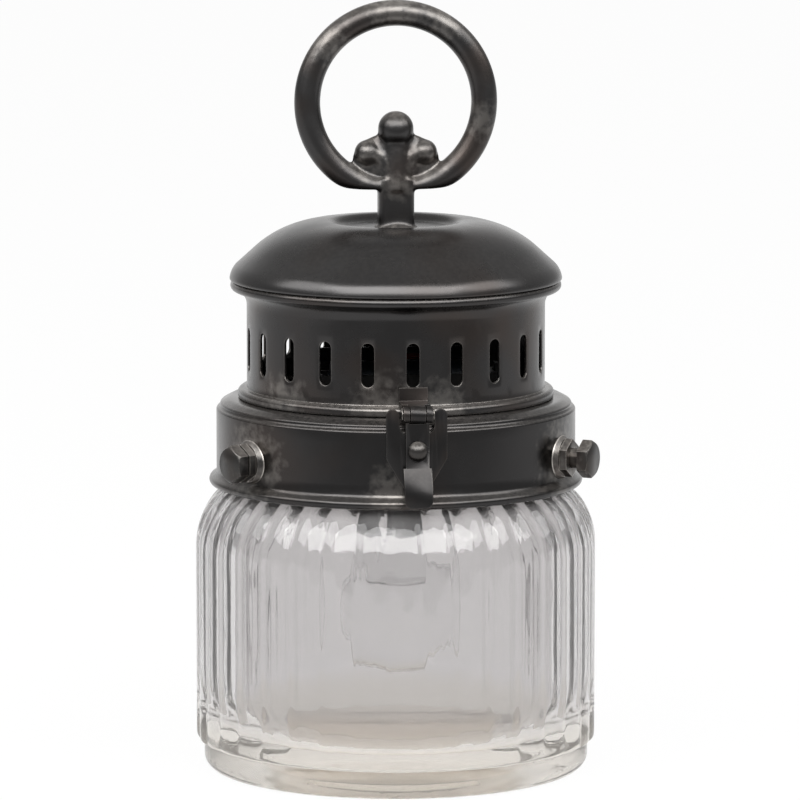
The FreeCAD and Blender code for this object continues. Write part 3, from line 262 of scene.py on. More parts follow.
# %% The reeds
REED_TURN = math.radians(-93.5)
CREST, VALLEY, FOOT = 60.3 * MM, 59.5 * MM, 58.0 * MM
NOSE_LOW, NOSE_RISE, NOSE_INSET = 8.7 * MM, 3.4 * MM, 0.4 * MM
SHOULDER_LOW, SHOULDER_CENTRE = 68 * MM, 37.8 * MM
SHOULDER_RISE, SHOULDER_GAIN = 12 * MM, 0.8
OUTSIDE_REACH, OUTSIDE_BEND, REED_TOP, NECK_REACH = 57 * MM, 22 * MM, 87.3 * MM, 49.6 * MM
INSIDE_LOW, INSIDE_TOP, INSIDE_REACH, INSIDE_BEND = 14 * MM, 83 * MM, 56 * MM, 19 * MM
INSIDE_FADE_LOW, INSIDE_FADE_TOP, INSIDE_SHARE = 12 * MM, 8 * MM, 0.75
EASE_START, EASE_DEPTH = 0.87, 0.12
half_reed = math.pi / REEDS
reed_width = CREST * half_reed
reed_round = (reed_width ** 2 + (CREST - VALLEY) ** 2) / (2 * (CREST - VALLEY))


def reed_depth(angle):
    across = ((angle - REED_TURN + half_reed) % (2 * half_reed)) / half_reed - 1
    sagged = reed_round - math.sqrt(reed_round ** 2 - (reed_width * across) ** 2)
    ease = max(0, (abs(across) - EASE_START) / (1 - EASE_START)) ** 2
    return sagged / (CREST - VALLEY) - EASE_DEPTH * ease


def inside_pull(level, depth):
    fade = min(1, (level - INSIDE_LOW) / INSIDE_FADE_LOW, (INSIDE_TOP - level) / INSIDE_FADE_TOP)
    return 1 - INSIDE_SHARE * fade * depth * (CREST - VALLEY) / CREST


def outside_pull(reach, level, depth):
    if level > SHOULDER_LOW:
        crest, lowest = reach, VALLEY / CREST * reach
    else:
        share = min(1, math.sqrt((level - NOSE_LOW) / NOSE_RISE))
        fullness = math.sqrt(1 - (1 - share) ** 2)
        start = FOOT - NOSE_INSET
        crest, lowest = start + (CREST - start) * fullness, start + (VALLEY - start) * fullness
    deeper = 1 + SHOULDER_GAIN * min(1, max(0, (level - SHOULDER_LOW) / SHOULDER_RISE))
    return max(crest - (crest - lowest) * depth * deeper, FOOT if level < SHOULDER_LOW else 0) / reach


for vert in jar.verts:
    reach, level = math.hypot(vert.co.x, vert.co.y), vert.co.z
    depth = reed_depth(math.atan2(vert.co.y, vert.co.x))
    bend = math.hypot(reach - SHOULDER_CENTRE, level - SHOULDER_LOW)
    if level < SHOULDER_LOW:
        inside = reach < INSIDE_REACH
        outside = reach > OUTSIDE_REACH and level > NOSE_LOW
    else:
        inside = bend < INSIDE_BEND
        outside = bend > OUTSIDE_BEND and level < REED_TOP and reach >= NECK_REACH
    pull = 1
    if inside and INSIDE_LOW < level < INSIDE_TOP:
        pull = inside_pull(level, depth)
    elif outside:
        pull = outside_pull(reach, level, depth)
    vert.co.x *= pull
    vert.co.y *= pull
piece("reeded_jar", jar, pressed_glass, "base", "jar_glass", "glass_jar", sharp=60)

# %% [markdown]
# ## Blackened steel: what age does to it, and painted highlights
# The metal is sheet steel, spun and soldered, then blackened in a hot bath and waxed. With age pale dust
# settles on what faces up, edges rub through to bare steel, and old flux leaves pale smears round soldered
# joints. All three could be painted by hand. Dust and worn edges are found from the shape instead, and
# smears from a short list of places, so every piece ages by the same rules. The same pale edges and spots
# also carry painted highlights: along the collar's shoulder lines and on the cast ring.

# %% Blackened steel: dust, rubbed edges, smears and painted highlights
EDGE_WIDTH, EDGE_GAIN, SMEAR_AND_HIGHLIGHT_SIZE = 0.6 * MM, 1.7, 2.4 * MM


def settled_dust(tree, grain, most):
    facing = node(tree, "ShaderNodeTexCoord", out="Normal")
    up = node(tree, "ShaderNodeSeparateXYZ", {"Vector": facing}, out="Z")
    dusty = node(tree, "ShaderNodeMapRange",
                 {"Value": up, "From Min": 0.2, "From Max": 0.9, "To Max": most})
    return node(tree, "ShaderNodeMath", {0: dusty, 1: grain}, operation="MULTIPLY")


# Where two faces meet, the rounded normal leans away from the true one, and that is where hands rub.
def rubbed_and_highlit_edges(tree, grain, most):
    true = node(tree, "ShaderNodeNewGeometry", out="Normal")
    eased = node(tree, "ShaderNodeBevel", {"Radius": EDGE_WIDTH}, samples=6)
    meet = node(tree, "ShaderNodeVectorMath", {0: true, 1: eased}, out="Value", operation="DOT_PRODUCT")
    rubbed_and_highlit = node(tree, "ShaderNodeMapRange",
                  {"Value": meet, "From Min": 0.985, "From Max": 0.86, "To Max": most})
    rubbed_and_highlit = node(tree, "ShaderNodeMath", {0: rubbed_and_highlit, 1: grain}, operation="MULTIPLY")
    return node(tree, "ShaderNodeMath", {0: rubbed_and_highlit, 1: EDGE_GAIN}, operation="MULTIPLY", use_clamp=True)


# A spot is a point in mm and how far round it the marks reach: smears on sheet and screws, pale patches
# and painted highlights on the casting.
def smears_and_painted_highlights(tree, place, rubbed_and_highlit, spots):
    smear_and_highlight_noise = node(tree, "ShaderNodeTexNoise", {"Vector": place, "Scale": 1 / SMEAR_AND_HIGHLIGHT_SIZE, "Detail": 6.0})
    for spot, reach_mm in spots:
        away = node(tree, "ShaderNodeVectorMath", {0: place, 1: [side * MM for side in spot]},
                    out="Value", operation="DISTANCE")
        near = node(tree, "ShaderNodeMapRange", {"Value": away, "From Min": reach_mm * MM, "From Max": 0.0})
        near = node(tree, "ShaderNodeMath", {0: near, 1: smear_and_highlight_noise}, operation="MULTIPLY")
        near = node(tree, "ShaderNodeMapRange",
                    {"Value": near, "From Min": 0.22, "From Max": 0.44, "To Max": 0.24})
        rubbed_and_highlit = node(tree, "ShaderNodeMath", {0: rubbed_and_highlit, 1: near}, operation="MAXIMUM")
    return rubbed_and_highlit


print("marks of age ready: settled_dust, rubbed_and_highlit_edges, smears_and_painted_highlights")

# %% [markdown]
# ## Blackened steel
# The bath takes unevenly: brown shows where it is thin, and the wax dulls in clouds that break up the
# highlights. A plain dark metal would look like plastic. One function makes the finish, because sheet,
# casting and screws share it and differ in how coarse the clouds are, how far they are worn and how dark
# their black is, partly as painted light and shade. Dust is no metal, so it takes the mirror away where it
# lies.

# %% Blackened steel
BROWN, DUST, BARE_STEEL_AND_HIGHLIGHT = "#443e3b", "#7d7873", "#b0aba5"
BROWN_TO_CLOUD = 1.5


def blackened_steel(name, black, cloud_mm, rough, worn_and_highlit, dust, grain_mm, grain_depth_mm, smear_and_highlight_spots=()):
    finish, tree, shader, place = open_material(name)
    clouds = node(tree, "ShaderNodeTexNoise",
                  {"Vector": place, "Scale": 1 / (cloud_mm * MM), "Detail": 6.0, "Roughness": 0.62})
    grain = node(tree, "ShaderNodeTexNoise", {"Vector": place, "Scale": 1 / (grain_mm * MM), "Detail": 4.0})
    thin = node(tree, "ShaderNodeTexNoise",
                {"Vector": place, "Scale": 1 / (BROWN_TO_CLOUD * cloud_mm * MM), "Detail": 1.0})
    thin = node(tree, "ShaderNodeMapRange", {"Value": thin, "From Min": 0.45, "From Max": 0.75})
    dusty = settled_dust(tree, grain, dust)
    rubbed_and_highlit = rubbed_and_highlit_edges(tree, grain, worn_and_highlit)
    if smear_and_highlight_spots:
        rubbed_and_highlit = smears_and_painted_highlights(tree, place, rubbed_and_highlit, smear_and_highlight_spots)
    tone = colour(black)
    for share, over in ((thin, BROWN), (dusty, DUST), (rubbed_and_highlit, BARE_STEEL_AND_HIGHLIGHT)):
        tone = node(tree, "ShaderNodeMix", {"Factor": share, COLOUR_A: tone, COLOUR_B: colour(over)},
                    out=COLOUR_MIXED, data_type="RGBA")
    tree.links.new(tone, shader.inputs["Base Color"])
    bare = node(tree, "ShaderNodeMath", {0: 1.0, 1: dusty}, operation="SUBTRACT")
    tree.links.new(bare, shader.inputs["Metallic"])
    dull = node(tree, "ShaderNodeMapRange", {"Value": clouds, "From Min": 0.3, "From Max": 0.7,
                                             "To Min": rough - 0.03, "To Max": rough + 0.08})
    tree.links.new(dull, shader.inputs["Roughness"])
    relief = node(tree, "ShaderNodeBump",
                  {"Height": grain, "Strength": 0.4, "Distance": grain_depth_mm * MM})
    tree.links.new(relief, shader.inputs["Normal"])
    print(f"{name}: clouds {cloud_mm} mm, grain {grain_mm} mm")
    return finish


print("finish ready to be set: blackened_steel")

# %% [markdown]
# Six settings of that finish follow. Spun sheet is the smoothest and shows long clear highlights, and the
# casting is the coarsest and breaks them up. Screws and nuts are handled most, so their edges are worn
# furthest and smears gather round them. The casting has no solder on it: there the same marks are pale
# patches round the buds, and on the ring's top and right side they are painted highlights that stand for
# the broad light on the tube.

# %% Six blackened steels
LEFT_NUT, RIGHT_NUT = (-46, -28, 97), (47, -29, 97)
# Painted highlight, in part: the collar's strong wear lightens its shoulder lines as well as its edges.
collar_steel = blackened_steel(
    "blackened_collar_steel", "#3b3a3a", cloud_mm=18, rough=0.22, worn_and_highlit=1.0, dust=0.5, grain_mm=1.1,
    grain_depth_mm=0.02, smear_and_highlight_spots=[(LEFT_NUT, 25), (RIGHT_NUT, 25), ((-8, -54, 92), 15)])
gallery_steel = blackened_steel(
    "blackened_gallery_steel", "#403f3f", cloud_mm=14, rough=0.24, worn_and_highlit=0.8, dust=0.7, grain_mm=1.1,
    grain_depth_mm=0.02, smear_and_highlight_spots=[((-9, -46, 116), 20), ((9, -46, 116), 16), ((-38, -27, 115), 18)])
# Painted light: the dome's black is lighter than the collar's, for the light that falls on its top.
dome_steel = blackened_steel(
    "blackened_dome_steel", "#4a4949", cloud_mm=22, rough=0.25, worn_and_highlit=0.5, dust=0.15, grain_mm=1.2,
    grain_depth_mm=0.01)
# Painted shade: the leaves' black is darker, which dims the highlight on the hasp's tail.
leaf_steel = blackened_steel(
    "blackened_leaf_steel", "#333232", cloud_mm=9, rough=0.3, worn_and_highlit=0.15, dust=0.3, grain_mm=0.9,
    grain_depth_mm=0.03)
turned_steel = blackened_steel(
    "blackened_screw_steel", "#444342", cloud_mm=6, rough=0.3, worn_and_highlit=1.2, dust=1.1, grain_mm=0.9,
    grain_depth_mm=0.04, smear_and_highlight_spots=[(LEFT_NUT, 14), (RIGHT_NUT, 14)])
# Painted highlight: the pale patches on the ring's top and right side stand for light on the tube.
cast_iron = blackened_steel(
    "blackened_cast_iron", "#434242", cloud_mm=10, rough=0.3, worn_and_highlit=0.5, dust=0.9, grain_mm=1.6,
    grain_depth_mm=0.06, smear_and_highlight_spots=[
        ((-9, -3, 184), 12), ((9, -3, 184), 12), ((0, -4, 176), 9), ((25, -2, 196), 12),
        ((0, -3, 229), 17), ((-20, -3, 220), 14), ((14, -3, 226), 12)])

# %% [markdown]
# ## The collar
# The collar is a spun band with a rolled bead at its foot and a rounded shoulder. The roller that formed
# the shoulder left a fine raised line on either side of it, and those two lines catch the light in every
# view. They are part of the profile, a fraction of a millimetre proud. The collar steel's worn edges lay a
# pale line along them too, partly wear and partly a painted highlight.

# %% The collar
collar = turned((37, 111.4), [
    ("line", 50.6, 111.4, 2), ("arc", 50.6, 109.2, -90, 5), ("line", 52.8, 86.4, 4),
    ("line", 54.8, 86.4, 2), ("arc", 54.8, 87.8, 140, 12), ("line", 55.0, 89.35, 1),
    ("line", 54.35, 89.95, 1), ("line", 54.0, 90.7, 1), ("line", 54.0, 108.9, 6),
    ("arc", 53.1, 108.9, 75, 7), ("line", 53.0, 109.95, 1), ("line", 52.85, 110.6, 1),
    ("arc", 52.05, 110.65, 75, 7), ("line", 51.4, 111.9, 2), ("line", 50.4, 112.4, 2),
    ("line", 49.4, 112.6, 1), ("line", 37, 112.6, 3)], 240)
piece("collar", collar, collar_steel, "base", "black_sheet", "collar_band", sharp=50)

# %% [markdown]
# ## One bay of the gallery
# The gallery is a strip of sheet with 21 punched slots, rolled into a ring. A boolean would cut the slots
# but leave ragged faces round them. Here one bay is laid out flat: a circle pulled into a slot, a second
# one pushed out to the bay's edge with four of its vertices set on the corners, and a bridge between the
# two, which leaves clean faces all round the slot.

# %% One bay of the gallery
BAYS, RIM_VERTS = 21, 32
WALL_RADIUS, WALL_LOW, WALL_TOP = 44.8 * MM, 116.2 * MM, 140.6 * MM
SLOT_HALF, SLOT_REACH, SLOT_LEVEL = 1.9 * MM, 4.6 * MM, 127.7 * MM
half_bay = math.pi * WALL_RADIUS / BAYS
middle = (WALL_LOW + WALL_TOP) / 2
half_tall = (WALL_TOP - WALL_LOW) / 2
gallery = bmesh.new()
turn = Matrix.Rotation(math.pi / RIM_VERTS, 4, "Z")
slot_rim, bay_rim = [
    bmesh.ops.create_circle(gallery, segments=RIM_VERTS, radius=SLOT_HALF, matrix=turn)["verts"]
    for _ in range(2)]
for vert in slot_rim:
    vert.co.y += math.copysign(SLOT_REACH, vert.co.y) + SLOT_LEVEL
for vert in bay_rim:
    across, along = vert.co.x, vert.co.y
    grow = min(half_bay / abs(across), half_tall / abs(along))
    vert.co.x, vert.co.y = across * grow, along * grow
for side in (1, -1):
    for end in (1, -1):
        corner = Vector((side * half_bay, end * half_tall, 0))
        min(bay_rim, key=lambda vert: (vert.co - corner).length).co = corner
for vert in bay_rim:
    vert.co.y += middle
rungs = bmesh.ops.bridge_loops(gallery, edges=gallery.edges[:])["edges"]
bmesh.ops.subdivide_edges(gallery, edges=rungs, cuts=2)
print(f"one bay: {len(gallery.faces)} faces")

# %% [markdown]
# ## The vented gallery
# On the real gallery the strip was bent round, and its edges were rolled: a cove and a small bead at the
# top, under the dome, and a flange with a rounded edge at the foot. The bay is bent to the wall's radius
# and repeated, the open rims are extruded along those sections, and the whole skin is then given its
# thickness, so that the slots show the edge of the sheet.

# %% The vented gallery
SHEET, RIM_MATCH = 0.9 * MM, MM / 100
for vert in gallery.verts:
    across, level = vert.co.x / WALL_RADIUS, vert.co.y
    vert.co = (WALL_RADIUS * math.sin(across), -WALL_RADIUS * math.cos(across), level)
bmesh.ops.spin(gallery, geom=gallery.verts[:] + gallery.edges[:] + gallery.faces[:], cent=(0, 0, 0),
               axis=(0, 0, 1), angle=math.tau * (BAYS - 1) / BAYS, steps=BAYS - 1, use_duplicate=True)
bmesh.ops.remove_doubles(gallery, verts=gallery.verts[:], dist=RIM_MATCH)


def rolled_on(bm, level, sections):
    rim = [edge for edge in bm.edges if edge.is_boundary
           and all(abs(vert.co.z - level) < RIM_MATCH for vert in edge.verts)]
    for radius, height in sections:
        made = bmesh.ops.extrude_edge_only(bm, edges=rim)["geom"]
        rim = [part for part in made if isinstance(part, bmesh.types.BMEdge)]
        for vert in {vert for edge in rim for vert in edge.verts}:
            scale = radius * MM / math.hypot(vert.co.x, vert.co.y)
            vert.co = (vert.co.x * scale, vert.co.y * scale, height * MM)


def arc_sections(radius, height, bend, start, end, steps):
    turns = [math.radians(start + (end - start) * step / steps) for step in range(1, steps + 1)]
    return [(radius + bend * math.cos(turn), height + bend * math.sin(turn)) for turn in turns]


cove = arc_sections(49.8, 140.6, 5.0, 180, 115, 9)
bead = arc_sections(48.2, 146.5, 1.5, -110, 80, 12)
rolled_on(gallery, WALL_TOP, cove + bead)
flange_edge = arc_sections(46.1, 114.2, 1.4, 90, 0, 6)
rolled_on(gallery, WALL_LOW, [(44.95, 115.8), (45.4, 115.6), (46.1, 115.6)] + flange_edge
          + [(47.4, 113.0), (47.2, 112.8), (44.8, 112.8)])
bmesh.ops.recalc_face_normals(gallery, faces=gallery.faces[:])
rightmost = max(gallery.faces, key=lambda face: face.calc_center_median().x)
if rightmost.normal.x < 0:
    bmesh.ops.reverse_faces(gallery, faces=gallery.faces[:])
vented = piece("vented_gallery", gallery, gallery_steel, "lid", "black_sheet", "gallery_ring")
sheet = vented.modifiers.new("sheet_thickness", "SOLIDIFY")
sheet.thickness = SHEET
sheet.offset = -1
round_edges(vented, "punched_edges", width_mm=0.25, segments=2, degrees=50)

# %% [markdown]
# ## The dome
# The dome was spun over a former: a shallow dish for the handle, a soft crest, one long curve and an edge
# folded tight under itself. A flattened sphere would miss the dish and the fold. It is a single turned
# profile, out along the top, round the fold and back along the inside.

# %% The dome
dome = turned((3.2, 163.71), [
    ("line", 15.5, 163.71, 4), ("arc", 15.5, 167.83, 41.9, 6), ("arc", 21, 161.69, -41.9, 6),
    ("arc", 21, 133.51, -40, 18), ("line", 48.0, 152.6, 5), ("arc", 42.96, 147.74, -36, 14),
    ("arc", 49.3, 148.63, -98, 6), ("line", 48.5, 148.2, 1), ("line", 47.2, 151.8, 4),
    ("line", 41.1, 157.5, 6), ("arc", 21, 133.51, 40, 12), ("line", 18.0, 163.8, 3),
    ("line", 15.5, 162.71, 2), ("line", 3.2, 162.71, 2), ("line", 3.2, 163.71, 1)], 240)
piece("spun_dome", dome, dome_steel, "lid", "black_sheet", "dome_cap", sharp=50)

# %% [markdown]
# ## The forms of the casting
# Ring, post, buds and curls are one sand casting. Its pattern was carved as one block, and such soft
# meetings are slow to model by hand, so plain forms are laid into one another first: a spun ring with a
# flattened underside, a post, cones, a web, buds and two curled wires.

# %% The forms of the casting
RING_LEVEL, RING_RADIUS, RING_TUBE = 201.4, 26.65, 3.95
UNDERSIDE, SOFTNESS = 175.2 * MM, 0.9 * MM
POST_LEVEL, POST_SIZE, POST_ROUND = 171.2, (10.8, 8.8, 15), 2.6
WEB_LEVEL, WEB_RADII = 184, (13.2, 2.4, 8.5)
CURL_LEVEL, CURL_START, CURL_CENTRE, CURL_WIRE = 179.8, 2.6, 9, 3.1
CONES = ((163.7, 165.3, 7, 4.2), (175, 191, 5.2, 3.6), (154.2, 165.3, 3, 3))
BUDS = ((0, 193.3, 5.4), (-8.6, 186.2, 3.9), (8.6, 186.2, 3.9))


def lifted(x, z):
    return Matrix.Translation((x * MM, 0, z * MM))


def sized(sides):
    return Matrix.Diagonal((*[side * MM for side in sides], 1))


casting = bmesh.new()
bmesh.ops.create_circle(casting, segments=40, radius=RING_TUBE * MM, matrix=lifted(RING_RADIUS, 0))
bmesh.ops.spin(casting, geom=casting.verts[:] + casting.edges[:], cent=(0, 0, 0), axis=(0, 1, 0),
               angle=math.tau, steps=160, use_merge=True)
bmesh.ops.translate(casting, verts=casting.verts[:], vec=(0, 0, RING_LEVEL * MM))
for vert in casting.verts:
    vert.co.z = UNDERSIDE + SOFTNESS * math.log1p(math.exp((vert.co.z - UNDERSIDE) / SOFTNESS))
post = bmesh.ops.create_cube(casting, size=1, matrix=lifted(0, POST_LEVEL) @ sized(POST_SIZE))["verts"]
uprights = {edge for vert in post for edge in vert.link_edges
            if abs(edge.verts[0].co.z - edge.verts[1].co.z) > POST_SIZE[2] / 2 * MM}
bmesh.ops.bevel(casting, geom=list(uprights), offset=POST_ROUND * MM, affect="EDGES", segments=5,
                profile=0.5, material=-1)
for low, high, base, tip in CONES:
    bmesh.ops.create_cone(casting, cap_ends=True, segments=40, radius1=base * MM, radius2=tip * MM,
                          depth=(high - low) * MM, matrix=lifted(0, (low + high) / 2))
bmesh.ops.create_uvsphere(casting, u_segments=48, v_segments=24, radius=1,
                          matrix=lifted(0, WEB_LEVEL) @ sized(WEB_RADII))
for x, z, radius in BUDS:
    bmesh.ops.create_uvsphere(casting, u_segments=40, v_segments=20, radius=radius * MM,
                              matrix=lifted(x, z))
for side in (1, -1):
    wire = bmesh.ops.create_circle(casting, cap_ends=True, segments=32, radius=CURL_WIRE * MM,
                                   matrix=lifted(side * CURL_START, CURL_LEVEL))["verts"]
    faces = list({face for vert in wire for face in vert.link_faces})
    edges = list({edge for vert in wire for edge in vert.link_edges})
    bmesh.ops.spin(casting, geom=wire + edges + faces, cent=(side * CURL_CENTRE * MM, 0, CURL_LEVEL * MM),
                   axis=(0, side, 0), angle=math.radians(80), steps=20)
bmesh.ops.recalc_face_normals(casting, faces=casting.faces[:])
print(f"casting: {len(casting.faces)} faces in forms that still overlap")

# %% [markdown]
# ## The cast ring
# Molten iron fills a mould without a seam, and every meeting of two forms comes out as a soft fillet. A
# boolean union would keep the hard lines. A voxel remesh fuses the forms into one skin instead, and a
# smoothing pass melts the lines where they meet.

# %% The cast ring
pattern = bpy.data.objects.new("ring_pattern", bpy.data.meshes.new("ring_pattern"))
casting.to_mesh(pattern.data)
casting.free()
bpy.context.scene.collection.objects.link(pattern)
fused = pattern.modifiers.new("fused", "REMESH")
fused.mode = "VOXEL"
fused.voxel_size = 0.36 * MM
melted = pattern.modifiers.new("melted", "SMOOTH")
melted.factor = 0.5
melted.iterations = 30
ring = bmesh.new()
ring.from_object(pattern, bpy.context.evaluated_depsgraph_get())
bpy.data.objects.remove(pattern)
piece("cast_ring", ring, cast_iron, "lid", "cast_handle", "ring_handle", sharp=180)

# %% [markdown]
# ## Latch, hinge, nuts and screws
# These small pieces already have their true outlines as solids. What a solid lacks is the soft edge that
# shearing, filing and handling leave. Each one is copied, its loose triangles are merged and its flat
# faces joined again, and a live bevel rounds every edge by a fraction of a millimetre.

# %% Latch, hinge, nuts and screws
WELD, FLAT_DEGREES = MM / 500, 0.6


def softened(source, edge_mm, finish, body, slot):
    bm = bmesh.new()
    bm.from_mesh(nodes[source].data)
    bmesh.ops.remove_doubles(bm, verts=bm.verts[:], dist=WELD)
    bmesh.ops.dissolve_limit(bm, angle_limit=math.radians(FLAT_DEGREES),
                             verts=bm.verts[:], edges=bm.edges[:])
    made = piece(f"soft_{source}", bm, finish, body, slot, source, sharp=180)
    round_edges(made, "handled_edges", edge_mm, segments=3, degrees=38).harden_normals = True


for source, edge_mm, body in (
        ("collar_nuts", 0.3, "base"), ("clamp_screw_left", 0.3, "screw_left"),
        ("clamp_screw_right", 0.3, "screw_right"), ("clamp_screw_rear", 0.3, "screw_rear"),
        ("latch_pin", 0.15, "lid"), ("hinge_pin", 0.15, "base")):
    softened(source, edge_mm, turned_steel, body, "black_fasteners")
for source, edge_mm, body in (
        ("latch_plate", 0.25, "base"), ("latch_hasp", 0.25, "hasp"), ("latch_bracket", 0.22, "lid"),
        ("hinge_leaf_collar", 0.22, "base"), ("hinge_leaf_lid", 0.22, "lid")):
    softened(source, edge_mm, leaf_steel, body, "black_sheet")

# %% [markdown]
# ## The knob
# The hasp is lifted by a round-headed rivet. It is turned like the jar, then laid over on its side so that
# its head faces the front, because a turned piece always starts out upright on the lantern's axis.

# %% The knob
KNOB_FRONT, KNOB_LEVEL = -56.75 * MM, 104.1 * MM
knob = turned((0, -1.1), [
    ("line", 1.5, -1.1, 1), ("line", 1.5, 0, 1), ("line", 2.6, 0, 1), ("arc", 2.6, 0.35, 90, 4),
    ("arc", 0, -0.33, 77, 14)], 48)
bmesh.ops.rotate(knob, verts=knob.verts[:], cent=(0, 0, 0),
                 matrix=Matrix.Rotation(math.radians(90), 3, "X"))
bmesh.ops.translate(knob, verts=knob.verts[:], vec=(0, KNOB_FRONT, KNOB_LEVEL))
piece("knob", knob, turned_steel, "hasp", "black_fasteners", "hasp_knob", sharp=50)

# %% [markdown]
# ## Bulb glass
# The bulb is blown from clear glass, with slow ripples that only show where its outline wavers. Its real
# refractive index is about 1.5, like the jar's, but through the reeds that would turn the bulb into a dark
# knot. It is set at 1.1, the second liberty of this lesson, so that only a faint outline is left.

# %% Bulb glass
RIPPLE_SIZE = 9 * MM
bulb_glass, tree, shader, place = open_material("blown_bulb_glass")
ripples = node(tree, "ShaderNodeTexNoise", {"Vector": place, "Scale": 1 / RIPPLE_SIZE, "Detail": 0.0})
rippled = node(tree, "ShaderNodeBump", {"Height": ripples, "Strength": 0.15, "Distance": 0.3 * MM})
tree.links.new(rippled, shader.inputs["Normal"])
shader.inputs["Base Color"].default_value = colour("#fdfdfd")
shader.inputs["Transmission Weight"].default_value = 1
shader.inputs["IOR"].default_value = 1.1
shader.inputs["Roughness"].default_value = 0.01
print("bulb glass ready")

# %% [markdown]
# ## The bulb
# A clear globe hangs from a dark base inside the jar, with a moulded light guide in it. The globe's wall
# is thin and even: one profile runs out along the sphere and back inside it. The guide is a thin cup. As
# solid blocks the two would bend the view far more than the eye sees here.

# %% The bulb
globe = turned((0, 28.5), [
    ("arc", 0, 48, 139.97, 40), ("arc", 16.4, 67.53, -49.97, 10), ("line", 10.4, 71.5, 1),
    ("line", 9.6, 71.5, 1), ("line", 9.6, 67.53, 1), ("arc", 16.4, 67.53, 49.97, 10),
    ("arc", 0, 48, -139.97, 40)], 128)
piece("clear_globe", globe, bulb_glass, "base", "clear_bulb", "bulb_globe", sharp=60)
cup = turned((0, 56), [
    ("line", 5, 56, 2), ("line", 7.6, 56, 1), ("arc", 7.6, 57.5, 90, 6), ("line", 9.1, 71.5, 1),
    ("line", 8.5, 71.5, 1), ("line", 8.5, 57.5, 1), ("arc", 7.6, 57.5, -90, 6), ("line", 5.2, 56.6, 1),
    ("line", 0, 56.6, 2)], 96)
piece("light_cup", cup, bulb_glass, "base", "clear_bulb", "light_guide", sharp=60)

# %% [markdown]
# ## Moulded, plated and sleeved pieces
# The lamp holder, the cells and their switch sit inside the lid. Their solids have the right shapes, so
# they only take finishes: satin phenolic, rubber, nickel-plated spring steel, brass and printed sleeves.
# One noise drives colour, gloss and relief together, so that a paler spot is also a duller one, as it is
# where plastic and plate are worn.

# %% Moulded, plated and sleeved pieces
GLOSS_SWING = 0.1


def plain_finish(name, light, dark, spot_mm, rough, metal=0.0, depth_mm=0.03):
    finish, tree, shader, place = open_material(name)
    spots = node(tree, "ShaderNodeTexNoise", {"Vector": place, "Scale": 1 / (spot_mm * MM), "Detail": 4.0})
    shade = node(tree, "ShaderNodeMix", {"Factor": spots, COLOUR_A: colour(dark), COLOUR_B: colour(light)},
                 out=COLOUR_MIXED, data_type="RGBA")
    tree.links.new(shade, shader.inputs["Base Color"])
    dull = node(tree, "ShaderNodeMapRange",
                {"Value": spots, "To Min": rough - GLOSS_SWING, "To Max": rough + GLOSS_SWING})
    tree.links.new(dull, shader.inputs["Roughness"])
    relief = node(tree, "ShaderNodeBump", {"Height": spots, "Strength": 0.4, "Distance": depth_mm * MM})
    tree.links.new(relief, shader.inputs["Normal"])
    shader.inputs["Metallic"].default_value = metal
    return finish


def dress(finish, *names):
    for name in names:
        for slot in nodes[name].material_slots:
            slot.material = finish
    print(f"{finish.name} on {', '.join(names)}")


dress(plain_finish("satin_phenolic", "#262423", "#1b1a19", spot_mm=0.8, rough=0.45),
      "lamp_holder", "bulb_base", "battery_holder", "switch_body", "switch_thumb")
dress(plain_finish("black_rubber", "#24211f", "#1a1817", spot_mm=0.5, rough=0.7), "rim_gasket")
dress(plain_finish("brass_sheet", "#c9a45c", "#a98440", spot_mm=3, rough=0.35, metal=1.0), "bulb_cap")
dress(plain_finish("nickel_spring_steel", "#c9c5bd", "#a9a59d", spot_mm=2, rough=0.3, metal=1.0),
      "battery_contacts")
dress(plain_finish("printed_cell_sleeve", "#2a3036", "#1f2429", spot_mm=6, rough=0.35), "battery_cells")
dress(plain_finish("vinyl_lead_sleeve", "#8c2f27", "#7a2620", spot_mm=2, rough=0.4), "lamp_leads")
dress(turned_steel, "handle_washer", "handle_nut", "holder_nut", "plate_screws")
dress(leaf_steel, "lamp_plate")

# %% [markdown]
# ## The room
# The lantern was photographed on a white sweep, with a dimmer room behind the camera. Metal and glass
# mirror that room, so it decides how dark the collar looks. A plain white world would wash the metal out.
# To the camera this one is white all round. In mirrors and through glass it is white behind the lantern
# and grey elsewhere, and for the light that falls on surfaces it is a weaker even fill.

# %% The room
EVEN_FILL, DIM_ROOM, WHITE_SWEEP = 0.3, 0.42, 1.0


def white_for_the_eye(tree, strength):
    rays = tree.nodes.new("ShaderNodeLightPath").outputs
    seen = rays["Is Camera Ray"]
    for ray in ("Is Glossy Ray", "Is Transmission Ray"):
        seen = node(tree, "ShaderNodeMath", {0: seen, 1: rays[ray]}, operation="MAXIMUM")
    return node(tree, "ShaderNodeMath", {0: seen, 1: strength}, operation="MULTIPLY")


world = bpy.data.worlds.new("studio_room")
world.use_nodes = True
bpy.context.scene.world = world
tree = world.node_tree
room = tree.nodes["Background"]
room.inputs["Color"].default_value = colour("#ffffff")
towards = node(tree, "ShaderNodeTexCoord", out="Generated")
behind = node(tree, "ShaderNodeSeparateXYZ", {"Vector": towards}, out="Y")
backdrop = node(tree, "ShaderNodeMapRange", {"Value": behind, "From Min": 0.8, "From Max": 0.98,
                                             "To Min": DIM_ROOM, "To Max": WHITE_SWEEP})
mirrored = node(tree, "ShaderNodeMix",
                {"Factor": white_for_the_eye(tree, 1.0), VALUE_A: EVEN_FILL, VALUE_B: backdrop})
direct = node(tree, "ShaderNodeLightPath", out="Is Camera Ray")
strength = node(tree, "ShaderNodeMix", {"Factor": direct, VALUE_A: mirrored, VALUE_B: WHITE_SWEEP})
tree.links.new(strength, room.inputs["Strength"])
print("room ready")

